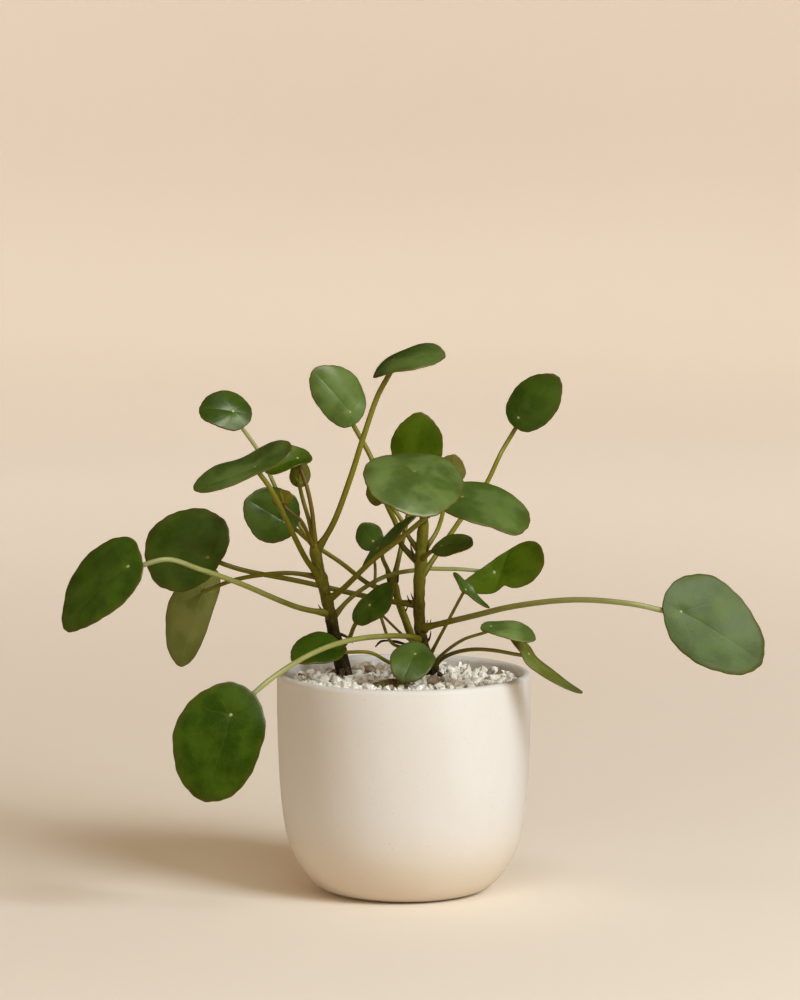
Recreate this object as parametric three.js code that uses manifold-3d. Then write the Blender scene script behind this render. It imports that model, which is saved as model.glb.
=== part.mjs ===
// Potted pilea: a leggy house plant with three stems and thirty round, long-stalked leaves, in a thick
// stoneware pot topped with gravel.
// Millimetres, +Z up. The origin is the centre of the pot's flat base. The plant is usually seen from -Y.
import * as THREE from 'three';
import Module from 'manifold-3d';
import { mergeVertices } from 'three/addons/utils/BufferGeometryUtils.js';

const wasm = await Module();
wasm.setup();

// Driving dimensions of the pot
const POT_RADIUS = 63.5;
const POT_HEIGHT = 110;
const POT_WALL = 5;
const POT_FLOOR = 8;
const POT_SIDES = 40;
// Outside radius of the pot at a few heights, from the edge of its flat base up to where it turns straight
const POT_OUTSIDE = [
  [36, 0],
  [44.5, 3.5],
  [53, 14],
  [59, 29],
  [62.2, 55],
  [POT_RADIUS, 90],
];
const POT_OUTSIDE_STEPS = 8;
const LIP_STEPS = 4;

// Driving dimensions of what fills the pot
const FIT_GAP = 0.3;
const SOIL_TOP = 98;
const GRAVEL_BED_TOP = 103.2;
const STONE_COUNT = 104;
const STONE_SIZE = 10.5;
const STONE_FLATNESS = 0.75;
// How far a stone's corners are drawn in and out, how far it may lie tipped, and how far it may stand up
const STONE_CORNER_LOW = 0.9;
const STONE_CORNER_HIGH = 1.35;
const STONE_TIP = 0.7;
const STONE_RISE = 2;
const STONE_SEED = 5;

// Driving dimensions of the leaves and their stalks
const BLADE_THICKNESS = 0.8;
const BLADE_RINGS = [0.4, 0.76, 1];
const SMALL_BLADE_RINGS = [0.55, 1];
const SMALL_BLADE_WIDTH = 20;
const BLADE_SPOKES = 18;
// The spokes of a blade stand closer together towards its two ends
const SPOKE_CROWDING = 0.3;
// Half angle, seen from the blade's middle, of the little point at its tip, and how sharply it rises
const NIB_SPREAD = 0.7;
const NIB_SHARPNESS = 1.5;
// Height of the soft waves along a blade's edge, their number, and how far they shift from leaf to leaf
const WAVE_HEIGHT = 0.8;
const WAVE_COUNT = 3;
const WAVE_SHIFT = 2.4;
const STALK_RADIUS = 1.5;
const STALK_SIDES = 6;
const STALK_STEP = 13;
const STALK_LEAD = 3;
const STALK_GAP = 0.45;

// Driving dimensions of the stems: how deep they stand in the soil, and the height over which they grow thin
const STEM_FOOT_HEIGHT = 62;
const OFFSHOOT_FOOT_HEIGHT = 74;
const STEM_TAPER = 35;
const STEM_SIDES = 9;
const STEM_STEP = 8;

// The stems, each as the points of its middle line from the soil upwards, with its radius where it leaves
// the gravel and at its top
const STEMS = {
  left_stem: {
    foot: 4.1,
    top: 2.9,
    line: [
      [-29, 21, STEM_FOOT_HEIGHT], [-30.5, 20, 107], [-35, 17, 126], [-38, 13.5, 142], [-42.5, 9.5, 160],
      [-45, 7, 173],
    ],
  },
  middle_stem: {
    foot: 2.3,
    top: 1.9,
    line: [
      [11, 32, OFFSHOOT_FOOT_HEIGHT], [10, 31, 108], [4.5, 28, 122], [-2, 25.5, 140], [-6.5, 24, 156],
    ],
  },
  right_stem: {
    foot: 3.4,
    top: 2.9,
    line: [
      [17, 18, STEM_FOOT_HEIGHT], [14, 16, 107], [9, 13.5, 123], [7.5, 11, 145], [8.5, 9.5, 166],
      [10, 8, 186],
    ],
  },
};

// The leaves. Each one's stalk leaves its stem at a height, bends through the points in via and ends under
// the hub, which is the point that carries the blade. The blade runs from the hub to its tip, and its upper
// side faces the way that faces says. Angles are degrees: arch bends the blade along its length, and curl
// bends its sides down. back is the share of the length that lies behind the hub, lean is how far the blade
// bows to one side, skew is how far its back end lies to that side, egg makes it wider behind its middle, nib
// is the length of its little point, and thick is the radius of its stalk.
const LEAVES = {
  summit: {
    stem: 'left_stem', height: 169, via: [[-35.5, 6, 183.5], [-27, 4, 206], [-20, 4, 228], [-13, 5, 248]],
    hub: [-5.5, 6, 266], tip: [20, -2, 267], faces: [-0.1, -0.3, 0.95], width: 36, arch: 45, curl: 25,
    back: 0.33, egg: 0.3,
  },
  high_middle: {
    stem: 'right_stem', height: 163,
    via: [[-1, 16, 171.5], [-4, 31, 180.5], [-9, 48, 189.5], [-16.5, 66, 210]], hub: [-27.5, 62, 234.5],
    tip: [-46.5, 58, 257.5], faces: [0.1, -0.85, 0.4], width: 27, arch: 15, curl: 15, back: 0.25,
    lean: -2.5,
  },
  high_left: {
    stem: 'left_stem', height: 172, via: [[-54, 12, 184.5], [-63, 28, 196], [-73.5, 43, 216]],
    hub: [-86.5, 44, 236.5], tip: [-104, 45, 238], faces: [0.05, -0.75, 0.65], width: 24, arch: 20,
    curl: 30, back: 0.38, lean: -2, nib: 0.5, thick: 1.3,
  },
  front_centre: {
    stem: 'right_stem', height: 184, via: [[9, -10, 195], [7, -45, 207]], hub: [5, -60, 217.5],
    tip: [9.5, -84, 197], faces: [0.12, -0.5, 0.85], width: 49, arch: 25, curl: 20, back: 0.38, lean: -1,
  },
  left_slanted: {
    stem: 'left_stem', height: 155, via: [[-48, 2, 165], [-57.5, -21, 187.5], [-65.5, -42, 207]],
    hub: [-72.5, -48, 218], tip: [-102, -54, 207.5], faces: [-0.2, -0.35, 0.92], width: 30, arch: -15,
    curl: 15, back: 0.4, lean: -7,
  },
  left_round: {
    stem: 'middle_stem', height: 148,
    via: [[-16, 25, 150], [-32, 20, 162.5], [-47, 18, 173], [-54, 15, 179.5]], hub: [-59.5, 6, 184.5],
    tip: [-79, 5, 196.5], faces: [-0.1, -0.95, 0.3], width: 28, arch: 25, curl: 20, back: 0.25,
    thick: 1.3,
  },
  left_cupped_bud: {
    stem: 'left_stem', height: 169, via: [[-51, -3, 186], [-55, -7, 190]], hub: [-59.5, -4, 194.5],
    tip: [-62, -3, 202], faces: [0.1, 0.95, 0.2], width: 11, arch: -20, curl: -50, back: 0.15, thick: 1,
  },
  young_rolled: {
    stem: 'left_stem', height: 171, via: [[-45, 7, 180.5], [-46, 6, 190.5], [-48.5, 5, 202.5]],
    hub: [-53, 6, 216.5], tip: [-69, 0, 210.5], faces: [0, -0.5, 0.85], width: 20, arch: 10, curl: -70,
    back: 0.3, thick: 1.2,
  },
  young_cupped: {
    stem: 'left_stem', height: 171, via: [[-47.5, 9, 185], [-50.5, 11, 195]], hub: [-52.5, 12, 203.5],
    tip: [-51, 14, 215], faces: [0, 0.9, 0.2], width: 11, arch: -20, curl: -70, back: 0.2, thick: 1.2,
  },
  left_large: {
    stem: 'right_stem', height: 142,
    via: [[-4.5, 15, 143], [-24.5, 23, 146], [-52.5, 30, 151.5], [-83, 35, 157]], hub: [-99.5, 32, 163.5],
    tip: [-131, 50, 170.5], faces: [-0.47, -0.79, 0.4], width: 46, arch: 15, curl: 15, back: 0.2, lean: 2,
    skew: -5,
  },
  left_hanging: {
    stem: 'left_stem', height: 156, via: [[-56, 8, 158.5], [-67, 9, 158], [-84, 27, 153]],
    hub: [-103.5, 70, 141.5], tip: [-115.5, 66, 102.5], faces: [-0.45, 0.85, 0.1], width: 26, arch: 15,
    curl: -60, back: 0.25, lean: 1.2,
  },
  far_left: {
    stem: 'left_stem', height: 137,
    via: [[-52, 4, 141.5], [-82, -21, 157.5], [-100.5, -38, 166.5], [-116, -52, 173]],
    hub: [-134.5, -55, 170], tip: [-165, -51, 138.5], faces: [-0.45, -0.75, 0.45], width: 38, arch: 30,
    curl: 20, back: 0.18, lean: -1.5, egg: 0.3, skew: -5.5,
  },
  low_front_left: {
    stem: 'right_stem', height: 124,
    via: [[1.5, 2, 127.5], [-25, -30.5, 130.5], [-44.5, -52.5, 127], [-65, -74, 117]],
    hub: [-83.5, -84, 101.5], tip: [-96, -86, 59.5], faces: [0.1, -0.95, 0.15], width: 43, arch: 20,
    curl: 20, back: 0.27, lean: -2.5,
  },
  rim_left: {
    stem: 'right_stem', height: 110, via: [[0.5, 2, 112], [-7.5, -5.5, 115.5], [-17, -13, 121.5]],
    hub: [-34, -15, 125], tip: [-56, -23, 119.5], faces: [-0.15, -0.65, 0.75], width: 23, arch: 20,
    curl: 20, back: 0.17, lean: -2, thick: 1.1,
  },
  middle_edge_on: {
    stem: 'middle_stem', height: 150, via: [[-8, 22, 158], [-10.5, 12, 165]], hub: [-13, 2, 172],
    tip: [7, 0, 188.5], faces: [-0.6, -0.3, 0.7], width: 14, arch: 20, curl: 20, back: 0.36, thick: 1.2,
  },
  right_broad: {
    stem: 'left_stem', height: 144,
    via: [[-31.5, 6, 150], [-16.5, -10.5, 166.5], [-3, -25.5, 179], [17.5, -42, 197]],
    hub: [28.5, -44, 203], tip: [61, -50, 189.5], faces: [0.3, -0.5, 0.8], width: 36, arch: 20, curl: 20,
    back: 0.3, egg: -0.1, nib: 0,
  },
  centre_back: {
    stem: 'middle_stem', height: 152, via: [[-1.5, 30, 168.5], [2, 58, 182], [4.5, 89, 194.5]],
    hub: [6, 84, 208.5], tip: [9, 82, 232.5], faces: [0, -1, 0.1], width: 27, arch: 20, curl: 20,
    back: 0.3,
  },
  right_small: {
    stem: 'right_stem', height: 165, via: [[13.5, -2, 170.5]], hub: [18.5, -14, 175],
    tip: [33.5, -20, 177], faces: [0, -0.5, 0.8], width: 18, arch: 20, curl: 20, back: 0.25, nib: 0.5,
    thick: 1.3,
  },
  back_olive: {
    stem: 'right_stem', height: 168, via: [[16, 14, 178], [20.5, 30.5, 190]], hub: [23.5, 46, 203.5],
    tip: [25.5, 50, 214], faces: [0, 0.9, 0.3], width: 15, arch: 20, curl: 20, back: 0.3, thick: 1.3,
  },
  small_low_centre: {
    stem: 'left_stem', height: 118, via: [[-27.5, 9, 125.5], [-24, -1, 134.5]], hub: [-17, -11, 145],
    tip: [-5, -13, 155.5], faces: [-0.4, -0.8, 0.4], width: 15, arch: 10, curl: 20, back: 0.45,
    lean: -1.5, egg: 0, thick: 1.2,
  },
  small_front: {
    stem: 'right_stem', height: 112, via: [[9.5, -7, 118.5]], hub: [5.5, -24, 122.5],
    tip: [-1, -34, 110], faces: [-0.1, -0.8, 0.6], width: 22, arch: 20, curl: 20, back: 0.33, nib: 0.5,
    thick: 1.3,
  },
  right_curled: {
    stem: 'left_stem', height: 134,
    via: [[-26.5, 17, 145], [-9.5, 18, 155.5], [7.5, 22, 158.5], [21, 48, 155.5], [33, 80, 151]],
    hub: [46.5, 74, 150.5], tip: [71, 68, 163.5], faces: [0.2, -0.75, 0.3], width: 20, arch: -20, curl: 40,
    back: 0.4, egg: -0.45, nib: 0, lean: -3.5, thick: 1.3,
  },
  small_upper_centre: {
    stem: 'middle_stem', height: 118,
    via: [[-6, 16, 122], [-11.5, 13, 135.5], [-14.5, 12, 146], [-14.5, 16, 161]], hub: [-15.5, 14, 174],
    tip: [-22, 13, 182.5], faces: [0, -0.9, 0.3], width: 14, arch: 20, curl: 20, back: 0.3, thick: 1,
  },
  centre_olive: {
    stem: 'right_stem', height: 168, via: [[2, 12, 177], [-2, 16, 185.5]], hub: [-10, 20, 197],
    tip: [-18.5, 20, 201.5], faces: [0, 0.9, 0.3], width: 16, arch: 20, curl: 20, back: 0.25, thick: 1.3,
  },
  high_right: {
    stem: 'right_stem', height: 155,
    via: [[18, 18, 169], [29.5, 39.5, 183], [42, 65.5, 197], [50.5, 87, 211.5]], hub: [59, 84, 229.5],
    tip: [80, 80, 250.5], faces: [0, -0.85, 0.4], width: 25, arch: 20, curl: 20, back: 0.17,
    thick: 1.3,
  },
  narrow_right: {
    stem: 'right_stem', height: 114, via: [[21, 0, 133.5]], hub: [30.5, -10, 152.5],
    tip: [42.5, -14, 144], faces: [0.4, -0.3, 0.8], width: 10, arch: -25, curl: -60, back: 0.42,
    thick: 1,
  },
  low_right: {
    stem: 'right_stem', height: 110, via: [[19, 0, 118.5], [30, -28, 130.5]], hub: [42.5, -44, 139],
    tip: [64, -52, 133.5], faces: [0.2, -0.4, 0.85], width: 17, arch: 20, curl: 20, back: 0.2, thick: 1,
    lean: 1.5,
  },
  drooping_right: {
    stem: 'right_stem', height: 109, via: [[20.5, 6, 116.5], [31.5, -11, 122.5], [43.5, -29, 125]],
    hub: [61, -42, 125], tip: [87, -48, 106], faces: [0.5, -0.35, 0.8], width: 16, arch: -25, curl: 20,
    back: 0.36, thick: 1.1,
  },
  far_right: {
    stem: 'right_stem', height: 130,
    via: [[34, -11, 139.5], [55, -32.5, 147.5], [83.5, -54.5, 153.5], [110.5, -70, 153.5]],
    hub: [133.5, -74, 150.5], tip: [173, -76, 125.5], faces: [0.3, -0.85, 0.4], width: 42, arch: 20,
    curl: 15, back: 0.2, lean: -1.5, egg: 0.15, skew: 7.5,
  },
  bud_leaf: {
    stem: 'middle_stem', height: 120, via: [[-2, 12, 128]], hub: [-13.5, 3, 141], tip: [-17, 2, 146],
    faces: [0, -0.9, 0.3], width: 7, arch: 20, curl: 20, back: 0.25, thick: 0.9,
  },
};

const LEAF_DEFAULTS = { nib: 1.2, egg: 0.1, lean: 0, skew: 0, thick: STALK_RADIUS };

const FINISHES = {
  stoneware: { color: 0xe6d8c8, roughness: 0.6 },
  soil: { color: 0x3a2a1e, roughness: 1 },
  gravel: { color: 0xb9b1a6, roughness: 0.9 },
  bark: { color: 0x5f5a35, roughness: 0.7 },
  upperLeaf: { color: 0x3c6b2c, roughness: 0.35 },
};

// A repeatable draw between low and high, so that the part is the same each time that it is built
function makeDraw(seed) {
  let state = seed;
  return (low, high) => {
    state = (Math.imul(state, 1664525) + 1013904223) >>> 0;
    return low + ((high - low) * state) / 2 ** 32;
  };
}

function toSolid(geometry) {
  const bare = geometry.index ? geometry.toNonIndexed() : geometry.clone();
  bare.deleteAttribute('normal');
  bare.deleteAttribute('uv');
  const welded = mergeVertices(bare, 1e-4);
  const vertProperties = new Float32Array(welded.attributes.position.array);
  const triVerts = new Uint32Array(welded.index.array);
  return new wasm.Manifold(new wasm.Mesh({ numProp: 3, vertProperties, triVerts }));
}

function toGeometry(solid) {
  const mesh = solid.getMesh();
  const geometry = new THREE.BufferGeometry();
  geometry.setAttribute('position', new THREE.BufferAttribute(new Float32Array(mesh.vertProperties), 3));
  geometry.setIndex(new THREE.BufferAttribute(new Uint32Array(mesh.triVerts), 1));
  geometry.computeVertexNormals();
  return geometry;
}

function makeMesh(name, geometry, finish) {
  const mesh = new THREE.Mesh(geometry, new THREE.MeshStandardMaterial({ metalness: 0, ...finish }));
  mesh.name = name;
  return mesh;
}

const vector = ([x, y, z]) => new THREE.Vector3(x, y, z);

// A round rod along a curve, with flat ends
function rod(points, radius, sides, step) {
  const curve = new THREE.CatmullRomCurve3(points, false, 'centripetal');
  const section = new THREE.Shape();
  for (let side = 0; side < sides; side += 1) {
    const angle = (side / sides) * 2 * Math.PI;
    const place = [radius * Math.cos(angle), radius * Math.sin(angle)];
    if (side === 0) section.moveTo(...place);
    else section.lineTo(...place);
  }
  section.closePath();
  const steps = Math.max(2, Math.round(curve.getLength() / step));
  return new THREE.ExtrudeGeometry(section, { steps, extrudePath: curve, bevelEnabled: false });
}

// Pot: its outside is a smooth curve through a few radii, its lip a half circle, and its inside follows the
// outside at the thickness of the wall
const potCorners = POT_OUTSIDE.map(([radius, height]) => new THREE.Vector2(radius, height));
const potOutside = new THREE.SplineCurve(potCorners).getPoints(POT_OUTSIDE_STEPS);

function potLip() {
  const half = POT_WALL / 2;
  const lip = [];
  for (let step = 0; step <= LIP_STEPS; step += 1) {
    const angle = (step / LIP_STEPS) * Math.PI;
    lip.push(new THREE.Vector2(
      POT_RADIUS - half + half * Math.cos(angle),
      POT_HEIGHT - half + half * Math.sin(angle),
    ));
  }
  return lip;
}

// Inside radius of the pot at a height
function potInside(height) {
  const next = potOutside.findIndex((point) => point.y > height);
  if (next < 1) return POT_RADIUS - POT_WALL;
  const [low, high] = [potOutside[next - 1], potOutside[next]];
  return THREE.MathUtils.mapLinear(height, low.y, high.y, low.x, high.x) - POT_WALL;
}

// The line of the inside wall between two heights, from the bottom up, with a point wherever the wall bends
function innerWall(bottom, top, clearance) {
  const shortest = 1;
  const bends = potOutside
    .map((point) => point.y)
    .filter((height) => height > bottom + shortest && height < top - shortest);
  return [bottom, ...bends, top].map((height) => new THREE.Vector2(potInside(height) - clearance, height));
}

function pot() {
  const inner = innerWall(POT_FLOOR, GRAVEL_BED_TOP, 0).reverse();
  const [bottom, floor] = [new THREE.Vector2(0, 0), new THREE.Vector2(0, POT_FLOOR)];
  const profile = [bottom, ...potOutside, ...potLip(), ...inner, floor];
  const shell = new THREE.LatheGeometry(profile, POT_SIDES).rotateX(Math.PI / 2);
  return makeMesh('pot', shell, FINISHES.stoneware);
}

// A disc or plug that fits the pot's inside between two heights, with a clearance all round
function potFilling(bottom, top) {
  const wall = innerWall(bottom, top, FIT_GAP);
  const profile = [new THREE.Vector2(0, bottom), ...wall, new THREE.Vector2(0, top)];
  return toSolid(new THREE.LatheGeometry(profile, POT_SIDES).rotateX(Math.PI / 2));
}

// A stem without its stalks: a rod whose rings are drawn in towards its top, from foot to top radius
function stemRod({ foot, top, line }, extra) {
  const points = line.map(vector);
  points[0].z -= extra;
  const curve = new THREE.CatmullRomCurve3(points, false, 'centripetal');
  const geometry = rod(points, 1, STEM_SIDES, STEM_STEP);
  const { position } = geometry.attributes;
  const rings = curve.getSpacedPoints(Math.max(2, Math.round(curve.getLength() / STEM_STEP)));
  const corner = new THREE.Vector3();
  for (let i = 0; i < position.count; i += 1) {
    corner.fromBufferAttribute(position, i);
    const middle = rings.reduce((a, b) => (b.distanceTo(corner) < a.distanceTo(corner) ? b : a));
    const climb = THREE.MathUtils.smoothstep(middle.z, GRAVEL_BED_TOP, GRAVEL_BED_TOP + STEM_TAPER);
    corner.sub(middle).multiplyScalar(THREE.MathUtils.lerp(foot, top, climb) + extra).add(middle);
    position.setXYZ(i, corner.x, corner.y, corner.z);
  }
  return toSolid(geometry);
}

// The plain holes that the stems stand in, a little wider than the stems
function stemHoles() {
  const clearance = FIT_GAP / Math.cos(Math.PI / STEM_SIDES);
  return Object.values(STEMS).map((stem) => stemRod(stem, clearance));
}

function soil(holes) {
  let solid = potFilling(POT_FLOOR + FIT_GAP, SOIL_TOP);
  for (const hole of holes) solid = solid.subtract(hole);
  return makeMesh('soil', toGeometry(solid), FINISHES.soil);
}

// One broken stone: an octahedron with its corners drawn in or out, lying at any angle
function stone(draw) {
  const chip = new THREE.OctahedronGeometry(STONE_SIZE / 2);
  chip.deleteAttribute('normal');
  chip.deleteAttribute('uv');
  const geometry = mergeVertices(chip);
  const { position } = geometry.attributes;
  for (let i = 0; i < position.count; i += 1) {
    const corner = new THREE.Vector3().fromBufferAttribute(position, i);
    corner.multiplyScalar(draw(STONE_CORNER_LOW, STONE_CORNER_HIGH));
    position.setXYZ(i, corner.x, corner.y, corner.z * STONE_FLATNESS);
  }
  geometry.rotateX(draw(-STONE_TIP, STONE_TIP));
  geometry.rotateY(draw(-STONE_TIP, STONE_TIP));
  return geometry.rotateZ(draw(0, 2 * Math.PI));
}

// Gravel: a bed with stones all over it, laid out on a sunflower's spiral so that they cover it evenly. A
// chip that the wall or a stem cuts loose is dropped.
function gravel(holes) {
  const draw = makeDraw(STONE_SEED);
  const goldenAngle = Math.PI * (3 - Math.sqrt(5));
  const spread = potInside(SOIL_TOP) - FIT_GAP - STONE_SIZE / 2;
  let solid = potFilling(SOIL_TOP + FIT_GAP, GRAVEL_BED_TOP);
  for (let i = 0; i < STONE_COUNT; i += 1) {
    const radius = spread * Math.sqrt((i + 0.5) / STONE_COUNT);
    const angle = i * goldenAngle;
    const chip = stone(draw);
    chip.translate(radius * Math.cos(angle), radius * Math.sin(angle), GRAVEL_BED_TOP + draw(0, STONE_RISE));
    solid = solid.add(toSolid(chip));
  }
  solid = solid.intersect(potFilling(SOIL_TOP + FIT_GAP, POT_HEIGHT));
  for (const hole of holes) solid = solid.subtract(hole);
  const [bed] = solid.decompose().sort((a, b) => b.volume() - a.volume());
  return makeMesh('gravel', toGeometry(bed), FINISHES.gravel);
}

// Blade: flat coordinates run from the hub, u towards the tip and v across
const radians = THREE.MathUtils.degToRad;

function bladeOutline(leaf, reach, turn) {
  const length = reach / (1 - leaf.back);
  const middle = reach - length / 2;
  const nib = leaf.nib * Math.max(0, 1 - Math.abs(turn) / NIB_SPREAD) ** NIB_SHARPNESS;
  const u = middle + (length / 2 - leaf.nib) * Math.cos(turn) + nib;
  const bow = leaf.lean * Math.sin(turn) ** 2 + (leaf.skew * (1 - Math.cos(turn))) / 2;
  const v = (leaf.width / 2) * Math.sin(turn) * (1 - leaf.egg * Math.cos(turn)) + bow;
  return [u, v];
}

// Where a flat point of the blade comes to lie once the blade is curled, waved and arched
function bentPoint(leaf, reach, u, v) {
  const edge = Math.hypot(u / reach, (2 * v) / leaf.width);
  const ripple = WAVE_HEIGHT * edge ** 2 * Math.sin(WAVE_COUNT * Math.atan2(v, u) + leaf.phase);
  const [y, droop] = bend(v, radians(leaf.curl) / leaf.width, 0);
  const [x, z] = bend(u, radians(leaf.arch) / reach, droop + ripple);
  return new THREE.Vector3(x, y, z);
}

// Bends a distance round an arc that drops below the straight line, at a height above that line
function bend(distance, rate, height) {
  if (Math.abs(rate) < 1e-6) return [distance, height];
  const radius = 1 / rate + height;
  return [radius * Math.sin(distance * rate), radius * Math.cos(distance * rate) - 1 / rate];
}

// The blade's frame: x runs from the hub to the tip, and z is the upper side
function bladeFrame(leaf) {
  const along = vector(leaf.tip).sub(vector(leaf.hub)).normalize();
  const up = vector(leaf.faces);
  up.addScaledVector(along, -up.dot(along)).normalize();
  const across = up.clone().cross(along);
  const pitch = new THREE.Matrix4().makeRotationY(-radians(leaf.arch) / 2);
  return new THREE.Matrix4().makeBasis(along, across, up).multiply(pitch).setPosition(vector(leaf.hub));
}

function flatReach(leaf) {
  const straight = vector(leaf.tip).distanceTo(vector(leaf.hub));
  const half = radians(leaf.arch) / 2;
  return Math.abs(half) < 1e-6 ? straight : (straight * half) / Math.sin(half);
}

// The blade's middle surface and its upward normal at a flat point
function bladeSurface(leaf, reach, u, v) {
  const small = 0.05;
  const point = bentPoint(leaf, reach, u, v);
  const alongU = bentPoint(leaf, reach, u + small, v).sub(bentPoint(leaf, reach, u - small, v));
  const alongV = bentPoint(leaf, reach, u, v + small).sub(bentPoint(leaf, reach, u, v - small));
  return { point, normal: alongU.cross(alongV).normalize() };
}

function blade(leaf) {
  const reach = flatReach(leaf);
  const flat = [[0, 0]];
  const rings = leaf.width < SMALL_BLADE_WIDTH ? SMALL_BLADE_RINGS : BLADE_RINGS;
  for (const ring of rings) {
    for (let spoke = 0; spoke < BLADE_SPOKES; spoke += 1) {
      const even = (spoke / BLADE_SPOKES) * 2 * Math.PI;
      const turn = even - SPOKE_CROWDING * Math.sin(even);
      const signed = turn > Math.PI ? turn - 2 * Math.PI : turn;
      const [u, v] = bladeOutline(leaf, reach, signed);
      flat.push([u * ring, v * ring]);
    }
  }
  const positions = [];
  for (const side of [1, -1]) {
    for (const [u, v] of flat) {
      const { point, normal } = bladeSurface(leaf, reach, u, v);
      point.addScaledVector(normal, (side * BLADE_THICKNESS) / 2);
      positions.push(point.x, point.y, point.z);
    }
  }
  const geometry = new THREE.BufferGeometry();
  geometry.setAttribute('position', new THREE.Float32BufferAttribute(positions, 3));
  geometry.setIndex(bladeTriangles(rings.length, flat.length));
  return geometry.applyMatrix4(bladeFrame(leaf));
}

// Triangles of both faces, split alike, and of the rim between them
function bladeTriangles(ringCount, below) {
  const index = [];
  const at = (ring, spoke) => 1 + ring * BLADE_SPOKES + (spoke % BLADE_SPOKES);
  const addBoth = (a, b, c) => index.push(a, b, c, below + a, below + c, below + b);
  const last = ringCount - 1;
  for (let spoke = 0; spoke < BLADE_SPOKES; spoke += 1) {
    addBoth(0, at(0, spoke), at(0, spoke + 1));
    for (let ring = 0; ring < last; ring += 1) {
      addBoth(at(ring, spoke), at(ring + 1, spoke), at(ring + 1, spoke + 1));
      addBoth(at(ring, spoke), at(ring + 1, spoke + 1), at(ring, spoke + 1));
    }
    const [a, b] = [at(last, spoke), at(last, spoke + 1)];
    index.push(a, below + a, b, b, below + a, below + b);
  }
  return index;
}

// The point of a stem's middle line at a height
function stemPoint(stem, height) {
  const curve = new THREE.CatmullRomCurve3(STEMS[stem].line.map(vector), false, 'centripetal');
  const count = 200;
  let best = curve.getPoint(0);
  for (let i = 1; i <= count; i += 1) {
    const point = curve.getPoint(i / count);
    if (Math.abs(point.z - height) < Math.abs(best.z - height)) best = point;
  }
  return best;
}

// The stalk comes up to the hub square to the blade and stops just under it
function stalk(leaf) {
  const up = new THREE.Vector3();
  bladeFrame(leaf).extractBasis(new THREE.Vector3(), new THREE.Vector3(), up);
  const end = vector(leaf.hub).addScaledVector(up, -(BLADE_THICKNESS / 2 + STALK_GAP));
  const lead = end.clone().addScaledVector(up, -STALK_LEAD);
  const route = [stemPoint(leaf.stem, leaf.height), ...leaf.via.map(vector), lead, end];
  return toSolid(rod(route, leaf.thick, STALK_SIDES, STALK_STEP));
}

function stemWithStalks(name, leaves) {
  let solid = stemRod(STEMS[name], 0);
  for (const leaf of leaves) {
    if (leaf.stem === name) solid = solid.add(stalk(leaf));
  }
  return makeMesh(name, toGeometry(solid), FINISHES.bark);
}

const leaves = Object.entries(LEAVES).map(([name, leaf], place) => ({
  ...LEAF_DEFAULTS,
  phase: place * WAVE_SHIFT,
  ...leaf,
  name,
}));
const holes = stemHoles();

const pilea = new THREE.Group();
pilea.add(pot(), soil(holes), gravel(holes));
for (const stem of Object.keys(STEMS)) pilea.add(stemWithStalks(stem, leaves));
for (const leaf of leaves) pilea.add(makeMesh(`leaf_${leaf.name}`, blade(leaf), FINISHES.upperLeaf));

export default pilea;
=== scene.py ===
"""Potted pilea: a leggy house plant with three stems and thirty round, long-stalked leaves.

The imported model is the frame, and this script dresses it: a thick stoneware pot, loose gravel, woody stems,
stalks and glossy blades. Sizes in the tables are millimetres, as a maker would measure them.
"""
import logging
import math
from dataclasses import dataclass, field
from enum import Enum

import bmesh
import bpy
import numpy as np
from mathutils import Euler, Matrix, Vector


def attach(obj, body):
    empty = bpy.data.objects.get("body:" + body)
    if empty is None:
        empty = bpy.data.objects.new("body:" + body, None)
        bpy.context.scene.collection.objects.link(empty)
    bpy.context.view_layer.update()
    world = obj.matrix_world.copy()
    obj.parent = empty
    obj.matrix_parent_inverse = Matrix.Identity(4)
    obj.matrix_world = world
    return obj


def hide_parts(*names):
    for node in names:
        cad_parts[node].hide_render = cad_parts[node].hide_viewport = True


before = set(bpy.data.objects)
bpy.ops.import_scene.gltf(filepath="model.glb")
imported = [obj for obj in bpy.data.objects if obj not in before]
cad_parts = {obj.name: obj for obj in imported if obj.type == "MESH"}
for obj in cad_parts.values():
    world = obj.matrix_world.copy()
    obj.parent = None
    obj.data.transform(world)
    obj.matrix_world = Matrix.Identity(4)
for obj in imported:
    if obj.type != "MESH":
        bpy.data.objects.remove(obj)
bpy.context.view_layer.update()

MM = 0.001
Point = tuple[float, float, float]
Colour = tuple[float, float, float]
Socket = bpy.types.NodeSocket
Material = bpy.types.Material

log = logging.getLogger("pilea")


def tint(red: int, green: int, blue: int) -> Colour:
    """Turns a colour card's reading, 0 to 255 each, into the linear colour that a shader wants.

    Args:
        red: red of the card.
        green: green of the card.
        blue: blue of the card.

    Returns:
        The linear colour.
    """
    shares = [value / 255 for value in (red, green, blue)]
    return tuple(s / 12.92 if s <= 0.04045 else ((s + 0.055) / 1.055) ** 2.4 for s in shares)


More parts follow.
